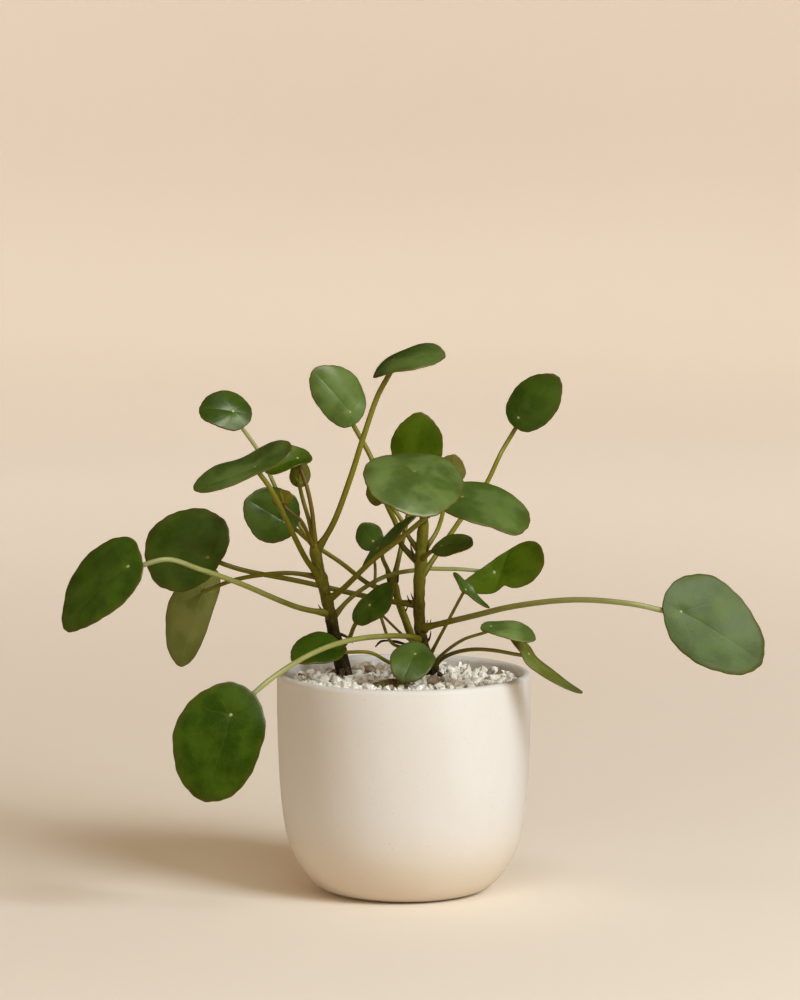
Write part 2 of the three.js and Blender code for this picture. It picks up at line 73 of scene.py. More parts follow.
class Graph:
    """A material's node tree, with short calls for the nodes that the finishes are made of."""

    def __init__(
        self, name: str, roughness: float, specular: float, mirror: Colour = (1.0, 1.0, 1.0)
    ) -> None:
        """Makes the material with its shader.

        Args:
            name: the material's name.
            roughness: the shader's own roughness, about which the finish varies.
            specular: how strongly the surface mirrors, 0.5 being usual.
            mirror: the colour of what it mirrors straight on.
        """
        self.material = bpy.data.materials.new(name)
        self.material.use_nodes = True
        self.tree = self.material.node_tree
        self.tree.nodes.clear()
        self.shader = self.add("ShaderNodeBsdfPrincipled")
        self.shader.inputs["Roughness"].default_value = roughness
        self.shader.inputs["Specular IOR Level"].default_value = specular
        self.shader.inputs["Specular Tint"].default_value = (*mirror, 1.0)
        output = self.add("ShaderNodeOutputMaterial")
        self.tree.links.new(self.shader.outputs["BSDF"], output.inputs["Surface"])

    def add(
        self, kind: str, inputs: dict[str | int, object] | None = None, **settings: object
    ) -> bpy.types.Node:
        """Adds a node.

        Args:
            kind: Blender's name of the node's type.
            inputs: what its inputs are fed with.
            settings: properties of the node and their values.

        Returns:
            The new node.
        """
        node = self.tree.nodes.new(kind)
        for name, value in settings.items():
            setattr(node, name, value)
        for key, value in (inputs or {}).items():
            self.feed(node.inputs[key], value)
        return node

    def feed(self, socket: Socket, value: object) -> None:
        """Links an input to another's output, or sets its number, vector or colour.

        Args:
            socket: the input that is fed.
            value: an output, a number, a vector or a colour.
        """
        if isinstance(value, Socket):
            self.tree.links.new(value, socket)
        elif socket.type == "RGBA":
            socket.default_value = (*value, 1.0)
        else:
            socket.default_value = value

    def own(self, name: str) -> bpy.types.Node:
        """Reads one of the mesh's own values by name."""
        return self.add("ShaderNodeAttribute", attribute_type="GEOMETRY", attribute_name=name)

    def number(self, name: str) -> Socket:
        """Reads one of the mesh's own numbers by name."""
        return self.own(name).outputs["Fac"]

    def vector(self, name: str) -> Socket:
        """Reads one of the mesh's own vectors by name."""
        return self.own(name).outputs["Vector"]

    def place(self) -> Socket:
        """Gives the point's place on the object, in metres."""
        return self.add("ShaderNodeTexCoord").outputs["Object"]

    def math(self, operation: str, *values: object) -> Socket:
        """Adds a sum or function of numbers, under Blender's name for it."""
        return self.add("ShaderNodeMath", dict(enumerate(values)), operation=operation).outputs[0]

    def plus(self, first: object, second: object) -> Socket:
        """Adds two numbers."""
        return self.math("ADD", first, second)

    def times(self, first: object, second: object) -> Socket:
        """Multiplies two numbers."""
        return self.math("MULTIPLY", first, second)

    def wander(self, noise: Socket, width: float) -> Socket:
        """Turns a noise into a number that wanders about 0, over a width."""
        return self.times(self.math("SUBTRACT", noise, 0.5), width)

    def vector_math(self, operation: str, *values: object) -> Socket:
        """Adds a function of vectors, under Blender's name for it; a length or a distance is a number."""
        node = self.add("ShaderNodeVectorMath", dict(enumerate(values)), operation=operation)
        return node.outputs[1 if operation in ("LENGTH", "DISTANCE") else 0]

    def stretched(self, vector: Socket, scales: Point) -> Socket:
        """Scales a vector by a number along each axis."""
        return self.vector_math("MULTIPLY", vector, scales)

    def split(self, vector: Socket) -> list[Socket]:
        """Gives the three parts of a vector."""
        return list(self.add("ShaderNodeSeparateXYZ", {0: vector}).outputs)

    def ramp(
        self, value: object, low: object, high: object, start: float = 0.0, end: float = 1.0
    ) -> Socket:
        """Eases softly from start, where a value is low or less, to end, where it is high or more."""
        numbers = {"Value": value, "From Min": low, "From Max": high, "To Min": start, "To Max": end}
        return self.add("ShaderNodeMapRange", numbers, interpolation_type="SMOOTHSTEP").outputs[0]

    def mix(self, share: object, first: object, second: object) -> Socket:
        """Mixes a share of the second colour into the first."""
        return self.add("ShaderNodeMix", {0: share, 6: first, 7: second}, data_type="RGBA").outputs[2]

    def noise(self, vector: Socket, scale: float, detail: float = 3.0, roughness: float = 0.5) -> Socket:
        """Adds clouds of about 0.25 to 0.75, as many to a unit of the vector as scale says."""
        numbers = {"Vector": vector, "Scale": scale, "Detail": detail, "Roughness": roughness}
        return self.add("ShaderNodeTexNoise", numbers).outputs["Fac"]

    def cells(self, vector: Socket, scale: float) -> Socket:
        """Gives the distance to the nearest edge of a net with scale cells to a unit of the vector."""
        numbers = {"Vector": vector, "Scale": scale}
        return self.add("ShaderNodeTexVoronoi", numbers, feature="DISTANCE_TO_EDGE").outputs["Distance"]

    def relief(self, height: Socket, depth: float, under: object = None) -> Socket:
        """Raises the surface in the light where a height is large.

        Args:
            height: the height, 0 to 1.
            depth: what a height of 1 stands for, in millimetres.
            under: a coarser relief that this one lies on.

        Returns:
            The surface's normal.
        """
        numbers = {"Strength": 1.0, "Distance": depth * MM, "Height": height}
        if under is not None:
            numbers["Normal"] = under
        return self.add("ShaderNodeBump", numbers).outputs[0]

    def finish(self, colour: object, roughness: object, normal: object) -> Material:
        """Feeds the shader with the base colour, the roughness and the surface's normal.

        Args:
            colour: the base colour.
            roughness: the roughness.
            normal: the surface's normal.

        Returns:
            The material.
        """
        for name, value in (("Base Color", colour), ("Roughness", roughness), ("Normal", normal)):
            self.feed(self.shader.inputs[name], value)
        return self.material


@dataclass
class Form:
    """Closed forms: points in millimetres, faces, each face's finish by number, and each point's values."""

    points: np.ndarray
    faces: list[tuple[int, ...]]
    finish: list[int]
    values: dict[str, np.ndarray] = field(default_factory=dict)

    @staticmethod
    def joined(forms: list["Form"]) -> "Form":
        """Puts several forms into one.

        Args:
            forms: forms that carry the same values.

        Returns:
            One form with all of them.
        """
        faces, finish, start = [], [], 0
        for form in forms:
            faces += [tuple(start + i for i in face) for face in form.faces]
            finish += form.finish
            start += len(form.points)
        values = {name: np.concatenate([f.values[name] for f in forms]) for name in forms[0].values}
        return Form(np.concatenate([f.points for f in forms]), faces, finish, values)

    def piece(
        self, name: str, slot: str, nodes: list[str], materials: list[Material], smooth: bool = True
    ) -> bpy.types.Object:
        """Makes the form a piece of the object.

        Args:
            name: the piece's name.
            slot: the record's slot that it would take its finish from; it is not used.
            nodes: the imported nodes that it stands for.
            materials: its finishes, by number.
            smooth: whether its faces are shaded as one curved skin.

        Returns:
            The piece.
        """
        mesh = bpy.data.meshes.new(name)
        mesh.from_pydata((self.points * MM).tolist(), [], self.faces)
        for label, numbers in self.values.items():
            kind, key = ("FLOAT", "value") if numbers.ndim == 1 else ("FLOAT_VECTOR", "vector")
            layer = mesh.attributes.new(label, kind, "POINT")
            layer.data.foreach_set(key, numbers.astype(np.float32).ravel())
        for material in materials:
            mesh.materials.append(material)
        mesh.polygons.foreach_set("material_index", self.finish)
        mesh.polygons.foreach_set("use_smooth", [smooth] * len(self.faces))
        mesh.update()
        piece = put_in_scene(name, mesh)
        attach(piece, "root")
        if nodes:
            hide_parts(*nodes)
        return piece


def put_in_scene(name: str, data: bpy.types.ID) -> bpy.types.Object:
    """Makes an object and puts it into the scene.

    Args:
        name: its name.
        data: its mesh, lamp or camera.

    Returns:
        The object.
    """
    thing = bpy.data.objects.new(name, data)
    bpy.context.scene.collection.objects.link(thing)
    return thing


def once_round(sides: int) -> np.ndarray:
    """Gives equal angles once round, in radians."""
    return np.arange(sides) / sides * 2 * math.pi


def level_ring(radius: float, height: float, turn: np.ndarray) -> np.ndarray:
    """Makes a level ring of points round the upright axis."""
    return np.column_stack([radius * np.cos(turn), radius * np.sin(turn), np.full(len(turn), height)])


def hump(value: np.ndarray, middle: float, spread: float) -> np.ndarray:
    """Rises softly to 1 at a middle and falls off on both sides of it within a spread."""
    return np.exp(-(((value - middle) / spread) ** 2))


def soft_step(value: np.ndarray, low: float, high: float) -> np.ndarray:
    """Eases from 0 where a value is low to 1 where it is high."""
    share = np.clip((value - low) / (high - low), 0, 1)
    return share * share * (3 - 2 * share)


def distances(line: np.ndarray) -> np.ndarray:
    """Measures how far along a line each of its places is."""
    return np.concatenate([[0], np.cumsum(np.linalg.norm(np.diff(line, axis=0), axis=1))])


def between(
    weight: float, start: np.ndarray, leave: np.ndarray, end: np.ndarray, arrive: np.ndarray
) -> np.ndarray:
    """Finds a place on a smooth curve between two points.

    Args:
        weight: 0 at the first point and 1 at the second.
        start: the first point.
        leave: the curve's slope there.
        end: the second point.
        arrive: the curve's slope there.

    Returns:
        The place.
    """
    w2, w3 = weight**2, weight**3
    from_start = (2 * w3 - 3 * w2 + 1) * start + (w3 - 2 * w2 + weight) * leave
    return from_start + (3 * w2 - 2 * w3) * end + (w3 - w2) * arrive


def skin(rows: list[np.ndarray], first: Point, last: Point) -> Form:
    """Covers rings of points with faces, and closes both ends.

    Args:
        rows: rings of equally many points, in order.
        first: the point that closes the start.
        last: the point that closes the end.

    Returns:
        The closed form, its points being first, the rings and last.
    """
    count = len(rows[0])
    points = np.concatenate([np.array([first]), *rows, np.array([last])])
    end = len(points) - 1
    sides = [(i, (i + 1) % count) for i in range(count)]
    faces = []
    for i, j in sides:
        faces += [(0, 1 + i, 1 + j), (end, end - count + j, end - count + i)]
    for low in range(1, end - count, count):
        high = low + count
        faces += [(low + i, high + i, high + j, low + j) for i, j in sides]
    return Form(points, faces, [0] * len(faces))


class Course:
    """A smooth line through points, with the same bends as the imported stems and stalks."""

    def __init__(self, points: list[Point]) -> None:
        """Takes the points that the line goes through."""
        self.points = np.array(points, float)

    def at(self, share: float) -> np.ndarray:
        """Finds a place on the line.

        Args:
            share: 0 at its start and 1 at its end.

        Returns:
            The place.
        """
        p = self.points
        last = len(p) - 1
        place = share * last
        index = min(int(place), last - 1)
        before = p[index - 1] if index > 0 else 2 * p[0] - p[1]
        after = p[index + 2] if index + 2 <= last else 2 * p[last] - p[last - 1]
        knots = [before, p[index], p[index + 1], after]
        gaps = [max(1e-4, float(((b - a) ** 2).sum()) ** 0.25) for a, b in zip(knots, knots[1:])]
        leave = self.slope(knots[:3], gaps[:2]) * gaps[1]
        arrive = self.slope(knots[1:], gaps[1:]) * gaps[1]
        return between(place - index, knots[1], leave, knots[2], arrive)

    @staticmethod
    def slope(points: list[np.ndarray], gaps: list[float]) -> np.ndarray:
        """Finds the line's slope at the middle one of three points.

        Args:
            points: the three points.
            gaps: the two knot gaps between them.

        Returns:
            The slope.
        """
        a, b, c = points
        first, second = gaps
        return (b - a) / first - (c - a) / (first + second) + (c - b) / second

    def walked(self, steps: int) -> np.ndarray:
        """Gives places along the line, at equal steps of the share."""
        return np.array([self.at(i / steps) for i in range(steps + 1)])

    def even(self, step: float) -> np.ndarray:
        """Walks the line in equal steps.

        Args:
            step: wanted length of a step.

        Returns:
            The places, both ends among them.
        """
        fine = self.walked(400)
        run = distances(fine)
        count = max(4, round(run[-1] / step))
        wanted = np.linspace(0, run[-1], count + 1)
        return np.stack([np.interp(wanted, run, fine[:, k]) for k in range(3)], 1)


def turned_frames(line: np.ndarray) -> tuple[np.ndarray, np.ndarray, np.ndarray]:
    """Carries a frame along a line without twisting it.

    Args:
        line: places on the line.

    Returns:
        The directions along the line, and two that lie across it.
    """
    along = np.gradient(line, axis=0)
    along /= np.linalg.norm(along, axis=1, keepdims=True)
    side = np.cross(along[0], (0.0, 1.0, 0.0))
    if np.linalg.norm(side) < 0.1:
        side = np.cross(along[0], (1.0, 0.0, 0.0))
    sides = []
    for direction in along:
        side = side - direction * side.dot(direction)
        side = side / np.linalg.norm(side)
        sides.append(side)
    first = np.array(sides)
    return along, first, np.cross(along, first)


def tube(line: np.ndarray, radii: np.ndarray, sides: int, seed: float) -> Form:
    """Makes a round shoot along a line, with domed ends.

    Args:
        line: places on the middle line.
        radii: its radius at each place, or at each place and side.
        sides: number of its sides.
        seed: a number that makes its markings its own.

    Returns:
        The shoot, with the values skin, a place on its surface, and along, 0 to 1.
    """
    direction, first, second = turned_frames(line)
    turn = once_round(sides)
    radii = radii[:, None] * np.ones(sides) if radii.ndim == 1 else radii
    # The dome at the far end has one ring, 0.7 of the way up and 0.7 as wide, and a point
    dome = 0.55 * radii[-1].mean()
    ring = first[:, None] * np.cos(turn)[:, None] + second[:, None] * np.sin(turn)[:, None]
    rows = list(line[:, None] + ring * radii[..., None])
    start = line[0] - direction[0] * 0.3 * radii[0].mean()
    cap = line[-1] + direction[-1] * 0.7 * dome + ring[-1] * radii[-1][:, None] * 0.7
    form = skin([*rows, cap], tuple(start), tuple(line[-1] + direction[-1] * dome))
    run = distances(line)
    length = run[-1] + dome
    around = np.stack([np.cos(turn), np.sin(turn)], 1) * radii.mean()
    wall = [np.column_stack([around, np.full(sides, at)]) for at in [*run, length]]
    form.values["skin"] = np.concatenate([[[0, 0, 0]], *wall, [[0, 0, length]]]) + (seed, 0, 0)
    form.values["along"] = form.values["skin"][:, 2] / length
    return form


# The pot and what fills it


@dataclass(frozen=True)
class StonewareFinish:
    """Matte cream stoneware with faint clouds, a warmer foot, fine specks and a thrower's soft rings."""

    body: Colour = tint(219, 214, 207)
    shade: Colour = tint(216, 210, 201)
    foot: Colour = tint(219, 199, 170)
    speck: Colour = tint(180, 162, 138)
    roughness: float = 0.8

    def make(self) -> Material:
        """Makes the material.

        Returns:
            The material.
        """
        g = Graph("matte_stoneware", self.roughness, 0.25)
        place = g.place()
        height = g.split(place)[2]
        clouds = g.noise(g.stretched(place, (1.0, 1.0, 0.35)), 38, 4)
        colour = g.mix(g.ramp(clouds, 0.35, 0.68), self.body, self.shade)
        colour = g.mix(g.ramp(height, 0.0, 0.05, 0.7, 0.0), colour, self.foot)
        specks = g.ramp(g.noise(place, 900, 2), 0.66, 0.74)
        colour = g.mix(g.times(specks, 0.35), colour, self.speck)
        rings = g.noise(g.stretched(place, (0.12, 0.12, 1.0)), 420, 2)
        grain = g.noise(place, 1500, 4, 0.7)
        normal = g.relief(grain, 0.05, g.relief(rings, 0.025))
        roughness = g.ramp(clouds, 0.3, 0.7, self.roughness - 0.08, self.roughness + 0.08)
        return g.finish(colour, roughness, normal)


@dataclass
class Pot:
    """The thick pot, turned round its middle: a rounded foot, nearly straight walls and a soft lip."""

    radius: float = 63.5
    height: float = 110.0
    wall: float = 5.0
    floor: float = 8.0
    sides: int = 192
    outside: tuple[tuple[float, float], ...] = (
        (36, 0), (44.5, 3.5), (53, 14), (59, 29), (62.2, 55), (63.5, 90),
    )
    # Fine steps between two of the outside's points, and round the lip
    steps: int = 8
    lip_steps: int = 12
    # How far the floor's flat part stops short of the wall
    fillet: float = 3.0
    finish: StonewareFinish = StonewareFinish()

    def outer_line(self) -> np.ndarray:
        """Runs up the outside in fine steps.

        Returns:
            The line's points, as radius and height.
        """
        p = np.array([self.outside[0], *self.outside, self.outside[-1]], float)
        line = []
        for a, b, c, d in zip(p, p[1:], p[2:], p[3:]):
            line += [between(w, b, (c - a) / 2, c, (d - b) / 2) for w in np.arange(self.steps) / self.steps]
        return np.array([*line, p[-1]])

    def inside_radius(self, height: float) -> float:
        """Finds the radius of the inside at a height."""
        line = self.outer_line()
        return float(np.interp(height, line[:, 1], line[:, 0])) - self.wall

    def build(self) -> bpy.types.Object:
        """Turns the pot.

        Returns:
            The pot's piece.
        """
        outer = self.outer_line()
        half = self.wall / 2
        lip = [
            (self.radius - half + half * math.cos(a), self.height - half + half * math.sin(a))
            for a in np.linspace(0, math.pi, self.lip_steps + 1)
        ]
        inner = [(r - self.wall, h) for r, h in outer[::-1] if h > self.floor + 1]
        profile = [*outer, *lip, *inner, (inner[-1][0] - self.fillet, self.floor)]
        turn = once_round(self.sides)
        form = skin([level_ring(r, h, turn)[::-1] for r, h in profile], (0, 0, 0), (0, 0, self.floor))
        return form.piece("stoneware_pot", "stoneware", ["pot"], [self.finish.make()])


@dataclass(frozen=True)
class SoilFinish:
    """Dark, damp potting mix with paler crumbs."""

    dark: Colour = tint(38, 26, 18)
    light: Colour = tint(84, 62, 43)
    roughness: float = 0.92

    def make(self) -> Material:
        """Makes the material.

        Returns:
            The material.
        """
        g = Graph("damp_soil", self.roughness, 0.25)
        place = g.place()
        crumbs = g.noise(place, 320, 6, 0.65)
        colour = g.mix(g.ramp(crumbs, 0.4, 0.68), self.dark, self.light)
        return g.finish(colour, g.ramp(crumbs, 0.3, 0.7, 0.98, 0.8), g.relief(crumbs, 1.2))


@dataclass(frozen=True)
class StoneFinish:
    """Broken stone: a main colour, a darker one in its seams, and a dusty skin with painted shade, heaviest
    on stones that lie low between others.
    """

    name: str
    light: Colour
    dark: Colour
    # Dust, and the painted shade of stones lying deep between others
    dust_and_shade: Colour = tint(104, 90, 68)
    roughness: float = 0.9

    def make(self) -> Material:
        """Makes the material.

        Returns:
            The material.
        """
        g = Graph(self.name, self.roughness, 0.15)
        place = g.place()
        tone = g.number("tone")
        patches = g.noise(place, 260, 4, 0.6)
        colour = g.mix(g.ramp(patches, 0.38, 0.7), self.light, self.dark)
        # Dust and painted shade: a low tone, given to stones deep between others, darkens the stone towards
        # this colour
        colour = g.mix(g.ramp(tone, 0.0, 0.45, 0.75, 0.0), colour, self.dust_and_shade)
        grain = g.noise(place, 1900, 3, 0.7)
        colour = g.mix(g.ramp(grain, 0.55, 0.75, 0.0, 0.2), colour, self.dark)
        normal = g.relief(grain, 0.08, g.relief(patches, 0.25))
        return g.finish(colour, g.ramp(patches, 0.3, 0.7, 0.95, 0.7), normal)


@dataclass
class Gravel:
    """Loose broken stones in three layers over the soil, each a hull with its edges knocked off."""

    pot: Pot
    kinds: int = 14
    seed: int = 21
    # Each layer as number of stones, size, height of their middles, and the tone of its most shaded stone,
    # low tones being painted with dust and shade
    layers: tuple[tuple[int, float, float, float], ...] = (
        (330, 7.2, 100.8, 0.0), (460, 6.4, 103.0, 0.1), (440, 5.8, 105.2, 0.3),
    )
    corners: int = 10
    flatness: float = 0.8
    knocked_off: float = 0.055
    # Shares of a stone's size: how far it may stray, and its middle's least distance from wall and bark
    stray: float = 0.16
    layer_from_wall: float = 0.42
    from_wall: float = 0.46
    from_bark: float = 0.3
    # The smallest and the largest stone of a layer, as shares of its size
    sizes: tuple[float, float] = (0.62, 1.3)
    # How far a stone may lie above or below its layer's height, and how much less dust and painted shade it
    # may take
    rise: float = 0.9
    less_shaded: float = 0.7
    # How many of the stones are white, grey and brown, as shares
    mix: Point = (0.88, 0.1, 0.02)
    finishes: tuple[StoneFinish, ...] = (
        StoneFinish("white_stone", tint(255, 250, 238), tint(226, 216, 198)),
        StoneFinish("grey_stone", tint(214, 206, 192), tint(160, 150, 134)),
        StoneFinish("brown_stone", tint(146, 122, 98), tint(88, 70, 54)),
    )

    def shapes(self, draw: np.random.Generator) -> list[tuple[np.ndarray, list[tuple[int, ...]]]]:
        """Breaks the stone shapes that the layers are made of.

        Args:
            draw: the source of chance.

        Returns:
            Points of a stone one unit across, and its faces, for each shape.
        """
        found = []
        for _ in range(self.kinds):
            spots = draw.normal(size=(self.corners, 3))
            spots *= (draw.uniform(0.44, 0.56, self.corners) / np.linalg.norm(spots, axis=1))[:, None]
            shape = bmesh.new()
            for spot in spots * (1.0, draw.uniform(0.7, 1.0), self.flatness):
                shape.verts.new(spot)
            hull = bmesh.ops.convex_hull(shape, input=shape.verts)
            left_over = hull["geom_interior"] + hull["geom_unused"]
            loose = {v for v in left_over if isinstance(v, bmesh.types.BMVert)}
            bmesh.ops.delete(shape, geom=list(loose), context="VERTS")
            bevel = {"offset": self.knocked_off, "segments": 1, "affect": "EDGES", "clamp_overlap": True}
            bmesh.ops.bevel(shape, geom=shape.edges[:], **bevel)
            bmesh.ops.recalc_face_normals(shape, faces=shape.faces)
            points = np.array([v.co[:] for v in shape.verts])
            found.append((points, [tuple(v.index for v in f.verts) for f in shape.faces]))
            shape.free()
        return found

    def build(self, trunks: list["Trunk"]) -> bpy.types.Object:
        """Lays the stones.

        Args:
            trunks: the stems that the stones lie round.

        Returns:
            The gravel's piece.
        """
        draw = np.random.default_rng(self.seed)
        shapes = self.shapes(draw)
        golden = math.pi * (3 - math.sqrt(5))
        stones = []
        for count, size, height, most_shaded in self.layers:
            inside = self.pot.inside_radius(height)
            reach = inside - self.layer_from_wall * size
            shift = draw.uniform(0, 2 * math.pi)
            for i in range(count):
                radius = reach * math.sqrt((i + 0.5) / count)
                angle = i * golden + shift
                middle = np.array([radius * math.cos(angle), radius * math.sin(angle), height])
                middle += (*draw.normal(0, self.stray * size, 2), draw.uniform(-self.rise, self.rise))
                wide = size * draw.uniform(*self.sizes)
                spin = Euler(draw.uniform(-math.pi, math.pi, 3)).to_matrix()
                shape = shapes[draw.integers(len(shapes))]
                kind = int(draw.choice(len(self.mix), p=self.mix))
                # Deeper layers start at lower tones, which paint dust and shade onto the stones lying between
                # others
                tone = most_shaded + self.less_shaded * draw.random()
                from_middle = math.hypot(middle[0], middle[1])
                most = inside - self.from_wall * wide
                if from_middle > most:
                    middle[:2] *= most / from_middle
                if any(trunk.gap_to(middle) < self.from_bark * wide for trunk in trunks):
                    continue
                points = shape[0] * wide @ np.array(spin).T + middle
                values = {"tone": np.full(len(points), tone)}
                stones.append(Form(points, shape[1], [kind] * len(shape[1]), values))
        materials = [finish.make() for finish in self.finishes]
        return Form.joined(stones).piece("gravel_stones", "gravel", ["gravel"], materials, smooth=False)


# The stems and stalks


@dataclass(frozen=True)
class BarkFinish:
    """A stem's skin: nearly black bark near the gravel, olive and green towards its top, with pores."""

    name: str
    low: Colour
    middle: Colour
    high: Colour
    low_end: float
    high_start: float
    pore: Colour = tint(176, 160, 108)
    roughness: float = 0.62
    mirror: Colour = (1.0, 0.93, 0.5)

    def make(self) -> Material:
        """Makes the material.

        Returns:
            The material.
        """
        g = Graph(self.name, self.roughness, 0.3, self.mirror)
        height = g.times(g.split(g.place())[2], 1 / MM)
        surface = g.vector("skin")
        streaks = g.noise(g.stretched(surface, (1.0, 1.0, 0.16)), 0.9, 5, 0.6)
        patches = g.noise(surface, 0.28, 3)
        ragged = g.plus(height, g.wander(patches, 34.0))
        colour = g.mix(g.ramp(ragged, self.low_end - 9, self.low_end + 9), self.low, self.middle)
        colour = g.mix(g.ramp(ragged, self.high_start - 14, self.high_start + 14), colour, self.high)
        colour = g.mix(g.ramp(streaks, 0.48, 0.72, 0.0, 0.6), colour, self.low)
        pores = g.ramp(g.noise(surface, 1.5, 2), 0.63, 0.7)
        colour = g.mix(g.times(pores, 0.3), colour, self.pore)
        roughness = g.ramp(streaks, 0.3, 0.7, self.roughness - 0.1, self.roughness + 0.15)
        return g.finish(colour, roughness, g.relief(streaks, 0.35))


@dataclass
class Trunk:
    """A stem without its stalks, with swollen rings where they leave it."""

    name: str
    node: str
    foot: float
    top: float
    line: tuple[Point, ...]
    finish: BarkFinish
    nodes: tuple[float, ...]
    gravel_top: float = 103.2
    taper: float = 35.0
    # The flare where the stem meets the gravel: share of the radius, and spread over the height
    flare: tuple[float, float] = (0.2, 3.5)
    # A ring where a stalk leaves and the groove above it: share of the radius, height over it, spread
    ring: Point = (0.09, 0.0, 1.7)
    groove: Point = (0.05, 3.2, 1.3)
    # Lobes round the bark: share of the radius, how many, how fast they wind up the stem, share of the seed
    lobes: tuple[tuple[float, float, float, float], ...] = ((0.035, 3, 0.35, 1), (0.025, 7, -0.9, 2))
    # The last part of the stem, which grows thinner: its length, and the share of the radius that it loses
    tip: tuple[float, float] = (7.0, 0.3)
    sides: int = 32
    step: float = 0.7

    def __post_init__(self) -> None:
        """Walks the middle line once, in fine steps."""
        self.places = Course(list(self.line)).walked(200)

    def at_height(self, height: float) -> np.ndarray:
        """Finds the point of the middle line at a height."""
        return self.places[np.abs(self.places[:, 2] - height).argmin()]

    def gap_to(self, place: np.ndarray) -> float:
        """Measures how far a place in the gravel is from the bark."""
        middle = self.at_height(float(place[2]))
        return math.hypot(*(place[:2] - middle[:2])) - self.foot

    def radius(self, height: np.ndarray) -> np.ndarray:
        """Finds how thick the stem is without its rings.

        Args:
            height: heights on the stem.

        Returns:
            Its radius at each height.
        """
        size, spread = self.flare
        tapered = soft_step(height, self.gravel_top, self.gravel_top + self.taper)
        plain = self.foot + (self.top - self.foot) * tapered
        return (1 + size * hump(height, self.gravel_top, spread)) * plain

    def build(self, seed: float) -> bpy.types.Object:
        """Grows the stem.

        Args:
            seed: a number that makes its bark its own.

        Returns:
            The stem's piece.
        """
        line = Course(list(self.line)).even(self.step)
        height = line[:, 2]
        swell = np.ones(len(line))
        (out, above, spread), (into, higher, narrow) = self.ring, self.groove
        for node in self.nodes:
            swell += out * hump(height - node, above, spread) - into * hump(height - node, higher, narrow)
        turn = once_round(self.sides)
        rough = sum(
            size * np.sin(count * turn[None] + height[:, None] * wind + share * seed)
            for size, count, wind, share in self.lobes
        )
        tip, lost = self.tip
        narrowing = 1 - lost * soft_step(height, height[-1] - tip, height[-1])
        radii = (self.radius(height) * swell * narrowing)[:, None] * (1 + rough)
        form = tube(line, radii, self.sides, 40 * seed)
        return form.piece(self.name, "stem", [self.node], [self.finish.make()])


@dataclass(frozen=True)
class StalkFinish:
    """A stalk's skin, from its foot to its leaf, with fine streaks along it."""

    name: str
    foot: Colour
    middle: Colour
    tip: Colour
    roughness: float = 0.45
    mirror: Colour = (1.0, 0.93, 0.5)

    def make(self) -> Material:
        """Makes the material.

        Returns:
            The material.
        """
        g = Graph(self.name, self.roughness, 0.4, self.mirror)
        along = g.number("along")
        surface = g.vector("skin")
        streaks = g.noise(g.stretched(surface, (1.6, 1.6, 0.08)), 1.0, 4, 0.6)
        patches = g.noise(surface, 0.12, 3)
        ragged = g.plus(along, g.wander(patches, 0.35))
        colour = g.mix(g.ramp(ragged, 0.0, 0.4), self.foot, self.middle)
        colour = g.mix(g.ramp(ragged, 0.45, 0.95), colour, self.tip)
        colour = g.mix(g.ramp(streaks, 0.5, 0.72, 0.0, 0.45), colour, self.foot)
        roughness = g.ramp(patches, 0.3, 0.7, self.roughness - 0.08, self.roughness + 0.1)
        return g.finish(colour, roughness, g.relief(streaks, 0.12))


class StalkTone(Enum):
    """The finishes that stalks come in."""

    OLIVE = StalkFinish("olive_stalk", tint(104, 97, 14), tint(118, 112, 26), tint(122, 117, 42))
    PALE = StalkFinish("pale_stalk", tint(118, 112, 28), tint(142, 142, 74), tint(153, 155, 104))
    BROWN = StalkFinish("brown_stalk", tint(112, 98, 20), tint(112, 90, 30), tint(96, 68, 34))


# The dry scales on the stems, and what lies on the gravel

SCALE_SIDES = 10


@dataclass(frozen=True)
class DryFinish:
    """Dead scales and roots: dark brown with paler streaks along them."""

    dark: Colour = tint(54, 38, 18)
    light: Colour = tint(104, 78, 40)
    roughness: float = 0.75

    def make(self) -> Material:
        """Makes the material.

        Returns:
            The material.
        """
        g = Graph("dry_scale", self.roughness, 0.2)
        surface = g.vector("skin")
        streaks = g.noise(g.stretched(surface, (2.0, 2.0, 0.4)), 1.2, 4, 0.6)
        colour = g.mix(g.ramp(streaks, 0.42, 0.7), self.dark, self.light)
        return g.finish(colour, g.ramp(streaks, 0.3, 0.7, 0.85, 0.65), g.relief(streaks, 0.2))


@dataclass(frozen=True)
class MossFinish:
    """A clod of old roots and moss, brown with olive tufts."""

    earth: Colour = tint(112, 94, 62)
    moss: Colour = tint(156, 150, 100)
    roughness: float = 0.95

    def make(self) -> Material:
        """Makes the material.

        Returns:
            The material.
        """
        g = Graph("mossy_clod", self.roughness, 0.1)
        place = g.place()
        tufts = g.noise(place, 620, 5, 0.7)
        patches = g.noise(place, 150, 3)
        colour = g.mix(g.ramp(g.plus(tufts, patches), 0.85, 1.2), self.earth, self.moss)
        return g.finish(colour, g.ramp(tufts, 0.3, 0.7, 1.0, 0.85), g.relief(tufts, 0.9))


